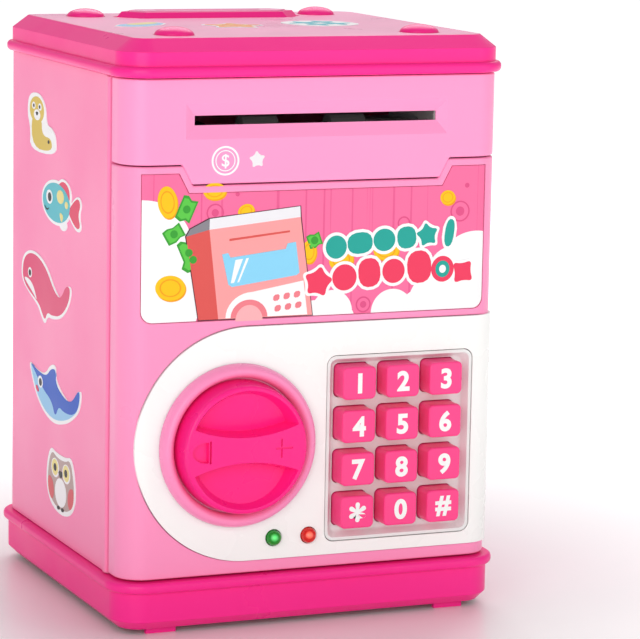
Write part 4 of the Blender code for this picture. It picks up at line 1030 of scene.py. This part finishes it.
white_ink = ink("white_ink", (0.93, 0.93, 0.93), 0.97)
clouds = None
for x, z, r in (
    (-58, 121.5, 16.5), (-51.5, 114, 11.5), (-50, 104, 10.5), (-58, 104, 9), (5.5, 100.5, 7), (-0.5,
        99.5, 5), (9.5, 98.5, 3.8),
    (26.5, 99.6, 7.4), (36, 99.5, 7), (41, 102.5, 8.8), (47.5, 111, 9), (55.5, 110.5, 14.2), (52, 102, 9),
):
    puff = rod("clouds", (x * mm, -0.1, z * mm), (x * mm, 0, z * mm), r * mm, sides=72)
    clouds = weld(clouds, puff) if clouds else puff
cloud_skin = keep_inside(
    front_skin("cloud_skin", -0.14 * mm, -0.3 * mm, 98 * mm, 147 * mm),
    label_blank("label_shape", -0.02 * mm),
)
keep_inside(clouds, cloud_skin)
finish(clouds, white_ink, "door", "label_print")

coins = ((-50.2, 137.2, 3.2, 5.0, 8), (-34.7, 140.2, 3.8, 2.6, 0), (-24.1, 133.6, 2.8, 2.2, 20),
    (-49, 110.4, 5.0, 3.9, -6),
         (45.2, 135.8, 2.6, 2.3, 0), (8.5, 117, 4.2, 3.2, 10), (24, 119.4, 4.4, 3.0, 0), (-2.6, 120,
             2.5, 3.6, 0))
rims = flat(0.07, *[oval(u + 0.35, v - 0.5, a, b, turn) for u, v, a, b, turn in coins])
rims += [
    card(oval(u, v, a * 0.72, b * 0.72, turn), 0.13, on_label, hole=oval(u, v, a * 0.62, b * 0.62, turn))
    for u, v, a, b, turn in coins
]
faces = flat(0.11, *[oval(*coin) for coin in coins])
printed("printed_coin_edges", rims, ink("amber_ink", (0.88, 0.36, 0.01)))
printed("printed_coins", faces, ink("gold_ink", (0.98, 0.56, 0.01)))

notes = (
    (-43.9, 134.8, 5.2, 7.4, -24), (-48, 127.2, 6.4, 4.6, 30), (-43, 121.2, 5.4, 8.0, 24),
    (-41.6, 119, 5.6, 7.6, -16), (-0.8, 123.6, 4.6, 4.2, 20),
)


def note_shape(u, v, wide, tall, turn, part=1.0):
    """The outline of a bank note seen at a slant, its two ends waved."""
    c, s = cos(radians(turn)), sin(radians(turn))
    flat = [
        (-0.5, -0.5), (-0.1, -0.58), (0.2, -0.44), (0.5, -0.5), (0.5, 0.5), (0.1, 0.42), (-0.2, 0.56),
        (-0.5, 0.5),
    ]
    return [
        (u + (a * wide * c - b * tall * s) * part, v + (a * wide * s + b * tall * c) * part)
        for a, b in flat
    ]


dark_notes = flat(0.12, *[note_shape(*note) for note in notes])
dark_notes += flat(0.19, *[oval(note[0], note[1], 1.25, 1.25) for note in notes])
light_notes = flat(0.16, *[note_shape(*note, part=0.8) for note in notes])
printed("printed_note_edges", dark_notes, ink("green_ink", (0.045, 0.36, 0.04)))
printed("printed_notes", light_notes, ink("leaf_ink", (0.11, 0.58, 0.07)))

loops = [
    card(oval(u, v, r, r), 0.05, on_label, hole=oval(u, v, r - 0.5, r - 0.5))
    for u, v, r in ((49.7, 131.2, 3.4), (-34.4, 133.4, 2.9), (16.4, 102.4, 2.6), (30, 128, 2.2))
]
loops += [
    card(oval(u, v, r, r), 0.05, on_label)
    for u, v, r in (
        (49.7, 131.2, 1.5), (-34.4, 133.4, 1.2), (16.4, 102.4, 1.1), (-27, 139, 0.7), (36.5, 124.6, 0.8),
        (52, 139.5, 0.8), (20, 111, 0.7),
    )
]
printed("printed_loops", loops, ink("rose_ink", (0.76, 0.09, 0.25)))

safe_side = [(-44.0, 126.3), (-36.3, 128.2), (-33.0, 99.9), (-39.6, 99.9)]
safe_front = [(-36.3, 128.2), (-5.7, 131.2), (-1.2, 99.9), (-33.0, 99.9)]
safe_end = [(-44.0, 126.3), (-42.6, 128.6), (-36.2, 131.6), (-36.3, 128.2)]
safe_top = [(-36.3, 128.2), (-36.2, 131.6), (-5.9, 134.6), (-5.7, 131.2)]
safe_line = [(-29.6, 125.1), (-9.3, 127.1), (-9.3, 126.5), (-29.6, 124.4)]
whole_safe = [
    (-44.0, 126.3), (-42.6, 128.6), (-36.2, 131.6), (-5.9, 134.6), (-5.7, 131.2), (-1.2, 99.9), (-39.6, 99.9),
]
window_shape = [
    (-32.0, 120.3), (-30.0, 120.7), (-29.2, 119.2), (-10.6, 121.3), (-10.0, 123.0), (-7.2, 123.4),
    (-5.8, 113.6), (-6.8, 112.8), (-28.6, 109.9), (-29.8, 110.7),
]
dark_ink = ink("plum_ink", (0.07, 0.02, 0.035))
printed("printed_safe_outline", flat(0.14, grown(whole_safe, 0.35)) + flat(0.21, window_shape), dark_ink)
printed(
    "printed_safe_side", flat(0.18, safe_side, margin=0.32) + flat(0.24, safe_line),
    ink("brick_ink", (0.72, 0.10, 0.09)),
)
for name, shape, colour in (
    ("front", safe_front, ink("salmon_ink", (0.95, 0.36, 0.36))),
    ("end", safe_end, ink("slate_ink", (0.25, 0.24, 0.27))),
    ("top", safe_top, ink("pearl_ink", (0.84, 0.83, 0.86))),
):
    printed(f"printed_safe_{name}", flat(0.18, shape, margin=0.28), colour)
printed("printed_window", flat(0.25, window_shape, margin=0.38), ink("sky_blue_ink", (0.26, 0.66, 0.90)))
wide_glint = [(-27.5, 118.4), (-25.0, 118.7), (-27.9, 111.2), (-29.0, 111.1)]
thin_glint = [(-23.9, 118.8), (-23.0, 118.9), (-26.2, 111.4), (-26.8, 111.3)]
glints = flat(0.28, wide_glint, thin_glint)
arch = [(-30.6, 100.1)] + [
    (-21.6 + 9.0 * cos(radians(a)), 100.1 + 8.0 * sin(radians(a)))
    for a in range(170, 80, -10)
] + [(-4.4, 111.0), (-2.9, 100.1)]
printed("printed_safe_panel", flat(0.22, arch) + glints, white_ink)
dial = [(-22.7 + 6.2 * cos(radians(a)), 100.1 + 5.6 * sin(radians(a))) for a in range(0, 181, 10)]
dial_hole = [(-22.7 + 4.6 * cos(radians(a)), 99.0 + 5.0 * sin(radians(a))) for a in range(0, 181, 10)]
pad_keys = [
    [(x, z), (x + 2.1, z + 0.25), (x + 2.3, z + 2.25), (x + 0.2, z + 2.0)]
    for x, z in ((-14.2, 101.4), (-10.7, 101.8), (-7.2, 102.2), (-14.7, 104.8), (-11.2, 105.2), (-7.7, 105.6))
]
printed(
    "printed_dial", flat(0.25, dial) + flat(0.28, *[eased(k, 1) for k in pad_keys]),
    ink("coral_ink", (0.86, 0.22, 0.26)),
)
printed("printed_dial_face", flat(0.29, dial_hole), ink("blush_ink", (0.97, 0.45, 0.47)))


def star(u, v, radius, turn=90, waist=0.5, points=5):
    """The outline of a star."""
    tips = [(radius * (waist if i % 2 else 1), radians(turn + 180 * i / points)) for i in range(2 * points)]
    return [(u + reach * cos(a), v + reach * sin(a)) for reach, a in tips]


def tile(u, v, half_u, half_v, turn=5):
    """The outline of a tile with round corners."""
    return eased(
        turned([(a * half_u, b * half_v) for a, b in ((-1, -1), (1, -1), (1, 1), (-1, 1))], u, v, turn)
    )


teal_shapes = [
    oval(6.6, 121.2, 3.6, 3.7), tile(14.8, 122.2, 4.3, 3.4), oval(23.2, 122.9, 3.8, 3.6),
    tile(31, 123.4, 3.3, 3.5), eased(star(38.2, 124.0, 4.3, 100, 0.55)), tile(46.0, 124.4, 1.6, 4.4, -8),
]
red_shapes = [
    eased(star(0.6, 110.3, 5.4, 80, 0.6)), oval(9.6, 111.4, 4.2, 4.2), tile(18.2, 112.6, 3.8, 4.6),
    oval(26.6, 112.8, 3.9, 3.9), tile(35.6, 113.8, 4.2, 5.2), oval(43.8, 112.8, 4.0, 4.2),
    eased(star(51.0, 111.6, 4.8, 50, 0.55, 4)),
]


printed(
    "printed_shape_borders",
    flat(
        0.30, *[grown(shape, 1.0) for shape in teal_shapes + red_shapes],
    ) + flat(0.39, oval(43.8, 112.8, 1.2, 1.3)),
    white_ink,
)
printed(
    "printed_teal_shapes", flat(0.34, *teal_shapes) + flat(0.37, oval(43.8, 112.8, 2.5, 2.7)),
    ink("teal_ink", (0.02, 0.38, 0.32)),
)
printed("printed_red_shapes", flat(0.34, *red_shapes), ink("cherry_ink", (0.86, 0.05, 0.12)))

# ---- the marks on the upper panel ----
# A coin mark in a ring and a small star, pad printed in white and silver on the fixed panel.
on_panel = Matrix(((1, 0, 0, 0), (0, 0, -1, front_y), (0, 1, 0, 0), (0, 0, 0, 1)))
mark_u, mark_v = -31.3, 149.6
coin_mark = [
    card(
        oval(mark_u, mark_v, out, out, sides=n), top, on_panel,
        hole=oval(mark_u, mark_v, bore, bore, sides=n),
    )
    for out, bore, top, n in ((4.6, 4.0, 0.06, 64), (3.3, 3.0, 0.05, 48))
]
nothing_selected()
bpy.ops.object.text_add()
money_sign = bpy.context.object
money_sign.data.body = "$"
money_sign.data.size = 5.4 * mm
money_sign.data.align_x, money_sign.data.align_y = "CENTER", "CENTER"
money_sign.data.offset = 0.05 * mm
money_sign.data.extrude = 0.04 * mm
bpy.ops.object.convert(target="MESH")
money_sign.data.transform(on_panel @ Matrix.Translation((mark_u * mm, 149.5 * mm, 0.02 * mm)))
finish(together("coin_mark", coin_mark + [money_sign]), white_ink, "bank", "light_pink")
finish(
    together("star_mark", [card(eased(star(-20.7, 149.7, 3.0, 95, 0.55), 1), 0.06, on_panel)]),
    ink("silver_ink", (0.86, 0.82, 0.85)), "bank", "light_pink",
)

# ---- the stickers on the side ----
# Five die-cut vinyl animals stuck to the left wall: each is a white backing with its colours printed
# on it. The child who owns the bank put them there.
on_side = Matrix(((0, 0, -1, -half_w), (-1, 0, 0, 0), (0, 1, 0, 0), (0, 0, 0, 1)))
vinyl_white = ink("vinyl_white", (0.92, 0.91, 0.92), 0.97)
black_ink = ink("black_ink", (0.02, 0.015, 0.02))
mustard = ink("mustard_ink", (0.72, 0.52, 0.09))
aqua = ink("aqua_ink", (0.10, 0.52, 0.60))
crimson = ink("crimson_ink", (0.80, 0.06, 0.14))
lemon = ink("lemon_ink", (0.86, 0.74, 0.28))
berry = ink("berry_ink", (0.78, 0.07, 0.19))
royal_blue = ink("royal_blue_ink", (0.025, 0.11, 0.56))
pale_blue = ink("pale_blue_ink", (0.32, 0.60, 0.86))
feather_grey = ink("feather_grey_ink", (0.50, 0.36, 0.34))
wing_red = ink("wing_red_ink", (0.72, 0.12, 0.14))


def sticker(name, face, backing, *coats):
    """A white backing with its coats of ink, each coat an ink and its outlines."""
    finish(
        together(f"{name}_backing", [card(shape, 0.22, face) for shape in backing]), vinyl_white, "bank",
        "label_print",
    )
    for level, (colour, shapes) in enumerate(coats):
        top = 0.27 + 0.05 * level
        finish(
            together(f"{name}_coat_{level + 1}", [card(shape, top, face) for shape in shapes]), colour,
            "bank", "label_print",
        )


sticker(
    "llama_sticker", on_side,
    [
        eased(
            [
                (-40.5, 156), (-38.5, 162.8), (-27, 163.8), (-20.5, 160), (-19.5, 153.8), (-13.5, 153.2),
                (-9.4, 150.4), (-9.6, 144.4), (-37.5, 143.8), (-36.8, 151),
            ]
        )
    ],
    (
        mustard,
        [
            oval(-30, 157.8, 7.6, 4.4),
            eased([(-36, 156), (-25, 156), (-24.4, 149.8), (-14.5, 149.8), (-13.6, 145.4), (-34.6, 144.8)]),
        ],
    ),
    (
        vinyl_white,
        [
            oval(-29.6, 156.2, 3.4, 1.8), oval(-33.2, 159, 1.8, 1.2), oval(-26.6, 159, 1.8, 1.2),
            oval(-17, 151.2, 3.2, 1.2),
        ],
    ),
    (
        black_ink,
        [
            oval(-33, 159, 0.8, 0.6), oval(-26.8, 159, 0.8, 0.6),
            eased([(-31.4, 157.2), (-27.8, 157.2), (-29.6, 155.6)], 1), oval(-17.2, 148.4, 0.9, 0.6),
        ],
    ),
)
sticker(
    "fish_sticker", on_side,
    [
        oval(-9, 129.4, 15.4, 7.4), eased([(-10, 135), (-3, 138.6), (6.4, 136), (6.4, 129)]),
        eased([(3, 129), (13, 134.8), (17.4, 132), (14.6, 128), (17.2, 123.6), (12, 122), (3, 126.6)]),
        oval(-2, 123, 4, 2.0),
    ],
    (
        crimson,
        [
            eased([(-9, 134), (-3, 137.6), (4.6, 135.6), (4.6, 130)]),
            eased(
                [(4, 129), (12.6, 133.8), (15.8, 131.6), (13, 128), (15.6, 124.2), (11.6, 123.2), (4, 127)]
            ),
        ],
    ),
    (aqua, [oval(-9, 129.4, 14, 6.4)]),
    (
        lemon,
        [
            oval(-4.6, 131.8, 3.6, 2.2), oval(1.6, 129.8, 1.6, 1.2),
            eased([(-6, 127), (-1, 126), (-3.4, 123)], 2),
        ],
    ),
    (vinyl_white, [oval(-15.8, 130.6, 3.2, 2.3)]),
    (
        black_ink,
        [
            oval(-15.4, 130.6, 1.8, 1.5),
            eased([(-21.6, 127.6), (-18.4, 126.2), (-15.6, 127.2), (-18.4, 125.6)], 1),
        ],
    ),
)
whale = [
    (-45, 101.5), (-43.5, 106.6), (-37, 109.4), (-28, 109.2), (-19, 106), (-12, 100.6), (-6.5, 98.4),
    (-3, 99.2), (1.5, 103.6), (6, 103.2), (3.6, 97.6), (-4, 92.6), (-13, 91.4), (-18, 92), (-20.5, 88.6),
    (-24, 91.2), (-27, 93.6), (-37, 96), (-43, 98.4),
]
sticker(
    "whale_sticker", on_side,
    [eased(grown(whale, 1.5))],
    (berry, [eased(whale)]),
    (
        vinyl_white,
        [
            eased([(-43.4, 100.4), (-40, 98.6), (-33, 96.2), (-28.5, 93.8), (-32.5, 98.4), (-37.5, 100.4)]),
            oval(-36.6, 102.6, 2.1, 1.7),
        ],
    ),
    (black_ink, [oval(-36.6, 102.5, 1.25, 1.1)]),
)
shark = [
    (-36.5, 72.6), (-28, 70.6), (-18.5, 70.2), (-13.5, 73.8), (-8.4, 74.2), (-8.6, 69), (2, 65.6),
    (8.5, 66.4), (14.6, 71.4), (16.4, 70.4), (14.6, 65), (9, 61.6), (1, 58.8), (-10, 57), (-20, 58.4),
    (-28, 62.4), (-32, 66.4),
]
sticker(
    "shark_sticker", on_side,
    [eased(grown(shark, 1.5))],
    (pale_blue, [eased(shark)]),
    (
        royal_blue,
        [
            eased(
                [
                    (-36.2, 72.5), (-28, 70.6), (-18.5, 70.2), (-13.5, 73.8), (-8.6, 74), (-8.6, 69),
                    (2, 65.6), (8.5, 66.4), (14.4, 71.2), (16.2, 70.2), (14.4, 65), (9, 62), (0, 61.4),
                    (-5.6, 62.6), (-9, 58), (-12.6, 63), (-22, 65.4), (-31, 70),
                ]
            )
        ],
    ),
    (vinyl_white, [oval(-24.8, 67.4, 2.6, 2.0)]),
    (black_ink, [oval(-24.6, 67.3, 1.5, 1.3)]),
    (crimson, [oval(-28, 64.6, 1.6, 0.7, -30)]),
)
owl = [
    (-16.5, 34), (-16, 41), (-12.6, 46.6), (-7.4, 45), (1.2, 45), (6.6, 46.8), (10, 41), (10.8, 34),
    (6.4, 29.4), (-2.8, 28), (-12, 29.4),
]
sticker(
    "owl_sticker", on_side,
    [eased(grown(owl, 1.8))],
    (feather_grey, [eased(owl)]),
    (
        wing_red,
        [
            eased([(-16.2, 38), (-11, 37), (-9.6, 32), (-12.4, 29.6), (-16.2, 33)]),
            eased([(10.4, 38), (5.4, 37), (4, 32), (6.8, 29.6), (10.4, 33)]),
        ],
    ),
    (vinyl_white, [oval(-2.8, 34, 5.8, 4.8), oval(-8.6, 41.4, 4.0, 3.2), oval(3, 41.4, 4.0, 3.2)]),
    (lemon, [oval(-8.6, 41.6, 3.2, 2.7), oval(3, 41.6, 3.2, 2.7)]),
    (
        black_ink,
        [
            oval(-8.4, 41.6, 1.5, 1.3), oval(2.8, 41.6, 1.5, 1.3),
            eased([(-5.4, 41.2), (-0.2, 41.2), (-2.8, 38.4)], 1), oval(-5, 28.6, 1.2, 0.6),
            oval(-0.8, 28.6, 1.2, 0.6),
        ],
    ),
)

# ---- the stickers on the top ----
# Three more from the same sheet lie on the plate in front of the coin slot: a two-coloured wedge,
# an orange starfish and a piece of teal lattice.
on_top = Matrix.Translation((0, 0, plate_high.z))
wedge = [(-50, -1), (-30.5, 13), (-28.5, 3), (-42, -8)]
sticker(
    "wedge_sticker", on_top,
    [eased(grown(wedge, 1.2), 1)],
    (pale_blue, [eased(wedge, 1)]),
    (lemon, [eased([(-44, 3.2), (-31, 12), (-29.8, 6.4), (-40, -0.4)], 1)]),
)
sticker(
    "starfish_sticker", on_top,
    [eased(star(-9, -6, 12.4, 78, 0.5), 1)],
    (ink("tangerine_ink", (0.90, 0.32, 0.07)), [eased(star(-9, -6, 11.2, 78, 0.44), 1)]),
    (
        lemon,
        [
            oval(-9 + 4.5 * cos(radians(a)), -6 + 4.5 * sin(radians(a)), 0.8, 0.8, sides=12)
            for a in range(78, 438, 72)
        ],
    ),
)
lattice_bars = [
    tile(24 + a, 0 + b, 9.6, 1.7, turn)
    for a, b, turn in ((-1.6, 3.6, 20), (1.6, -3.6, 20), (-3.8, -1.2, 104), (3.8, 1.2, 104))
]
sticker(
    "lattice_sticker", on_top,
    [tile(24, 0, 12.2, 12.0, 20)],
    (ink("lagoon_ink", (0.05, 0.46, 0.55)), lattice_bars),
)

# ---- the battery door ----
# A light pink cover in the back wall over three AA cells. Two tabs hold its foot, one screw its top,
# and raised ribs give a thumb something to push against.
cover_low, cover_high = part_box("battery_door")
cover = block(
    "battery_cover", (cover_low.x, cover_low.y, cover_low.z),
    (cover_high.x, cover_high.y - 0.5 * mm, cover_high.z),
)
round_edges(cover, 2.8 * mm, across, 6)
for i in range(5):
    z = cover_low.z + (6 + 2.4 * i) * mm
    rib = block("rib", (-9 * mm, cover_high.y - 0.8 * mm, z), (9 * mm, cover_high.y, z + 1.1 * mm))
    round_edges(rib, 0.5 * mm, across, 4)
    weld(cover, rib)
screw_low, screw_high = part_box("battery_door_screw")
screw_x, screw_z = (screw_low.x + screw_high.x) / 2, (screw_low.z + screw_high.z) / 2
carve(
    cover,
    rod(
        "screw_well", (screw_x, cover_low.y - 1 * mm, screw_z), (screw_x, cover_high.y + 1 * mm, screw_z),
        1.8 * mm, sides=32,
    ),
)
soften(cover, 0.22 * mm, 2, 40)
finish(cover, light_pink, "bank", "light_pink", "battery_door")

# ---- the screws ----
# Four self-tapping screws hold the base tray to the body, and a small one the battery door. Zinc plated
# steel, with a pan head and a cross recess.
steel = plastic(
    "zinc_plated_steel", (0.66, 0.66, 0.68), (0.52, 0.53, 0.56), (0.2, 0.38), 700, 0.05, sheen=0.5,
)
steel.node_tree.nodes["Principled BSDF"].inputs["Metallic"].default_value = 1


def screw(name, node, axis, head_end, head_radius, head_length, shank_radius):
    """A pan head with a cross recess on a threaded shank. head_end is +1 or -1 along its axis."""
    low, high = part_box(node)
    mid = (low + high) / 2
    tip, top = (low, high) if head_end > 0 else (high, low)
    start, end = mid.copy(), mid.copy()
    start[axis], end[axis] = tip[axis], top[axis]
    along = (end - start).normalized()
    piece = rod(name, end - along * head_length, end, head_radius, head_radius * 0.82, sides=32)
    soften(piece, head_length * 0.25, 3, 40)
    for turn in (0, 1):
        size = Vector((head_radius * 0.16,) * 3)
        size[(axis + 1 + turn) % 3] = head_radius * 0.62
        size[axis] = head_length * 0.55
        carve(piece, block("cross", end - size, end + size))
    weld(
        piece,
        rod("shank", start + along * 1.2 * mm, end - along * head_length * 0.6, shank_radius, sides=16),
    )
    weld(piece, rod("point", start, start + along * 1.3 * mm, 0.3 * mm, shank_radius, sides=16))
    pitch = 1.1 * mm
    thread = start + along * 1.6 * mm
    while (end - thread).length > head_length + pitch:
        weld(piece, rod("thread", thread, thread + along * 0.35 * mm, shank_radius * 1.22, sides=16))
        thread = thread + along * pitch
    return finish(piece, steel, "bank", "steel", node)


for i in range(1, 5):
    screw(f"base_screw_{i}_made", f"base_screw_{i}", 2, -1, 2.9 * mm, 2 * mm, 1.2 * mm)
screw("battery_cover_screw", "battery_door_screw", 1, 1, 1.6 * mm, 1.1 * mm, 0.8 * mm)

# ---- the works ----
# Everything behind the covers keeps its own shape and takes its real finish: steel pins, shafts and
# latch parts, rubber rollers and key mat, green board, black and white mouldings, and wrapped cells.
nylon = plastic("white_nylon", (0.80, 0.74, 0.73), (0.74, 0.67, 0.67), (0.38, 0.5), 1500, 0.04)
black_abs = plastic("black_abs", (0.022, 0.022, 0.025), (0.032, 0.032, 0.036), (0.32, 0.5), 1400, 0.06)
rubber = plastic("grey_rubber", (0.16, 0.15, 0.15), (0.12, 0.115, 0.115), (0.62, 0.8), 900, 0.12, sheen=0.2)
board_green = plastic("solder_mask", (0.012, 0.15, 0.05), (0.02, 0.24, 0.09), (0.2, 0.34), 500, 0.05)
board_tree = board_green.node_tree
board_place = add_node(board_tree, "TexCoord")
tracks = add_node(board_tree, "TexBrick", {
    "Scale": 260, "Mortar Size": 0.05, "Mortar": (0.04, 0.34, 0.13, 1),
    "Color1": (0.012, 0.15, 0.05, 1), "Color2": (0.016, 0.19, 0.065, 1),
})
track_turn = add_node(board_tree, "Mapping", {"Rotation": (pi / 2, 0, 0)})
wire(
    board_tree,
    (board_place, "Object", track_turn, "Vector"),
    (track_turn, "Vector", tracks, "Vector"),
    (tracks, "Color", board_tree.nodes["Principled BSDF"], "Base Color"),
)

cell_wrap = plastic("cell_wrap", (0.03, 0.03, 0.035), (0.045, 0.045, 0.05), (0.22, 0.32), 1200, 0.02)
cell_tree = cell_wrap.node_tree
cell_place = add_node(cell_tree, "TexCoord")
cell_split = add_node(cell_tree, "SeparateXYZ")
copper_band = add_node(cell_tree, "Math", {1: 10 * mm}, operation="GREATER_THAN")
cell_mix = add_node(cell_tree, "Mix", {"B": (0.72, 0.33, 0.10, 1)}, data_type="RGBA")
wire(
    cell_tree,
    (cell_place, "Object", cell_split, "Vector"),
    (cell_split, "X", copper_band, 0),
    (copper_band, "Value", cell_mix, "Factor"),
    (cell_tree.nodes["Group"], "Colour", cell_mix, "A"),
    (cell_mix, "Result", cell_tree.nodes["Principled BSDF"], "Base Color"),
)

works = {
    steel: ("battery_contact_left", "battery_contact_right", "feed_motor", "feed_shaft", "hinge_pin_lower",
            "hinge_pin_upper", "knob_shaft", "latch_tongue", "lock_pawl"),
    nylon: ("battery_box", "feed_gear", "feed_housing", "motor_pinion", "pinch_roller"),
    black_abs: ("lock_disc", "lock_solenoid", "speaker"),
    rubber: ("feed_roller_left", "feed_roller_right", "key_mat"),
    board_green: ("keypad_board",),
    cell_wrap: ("battery_cell_1", "battery_cell_2", "battery_cell_3"),
    door_pink: ("door_back_cover",),
}
for finish_material, names in works.items():
    for name in names:
        frame["nodes"][name].material_slots[0].material = finish_material
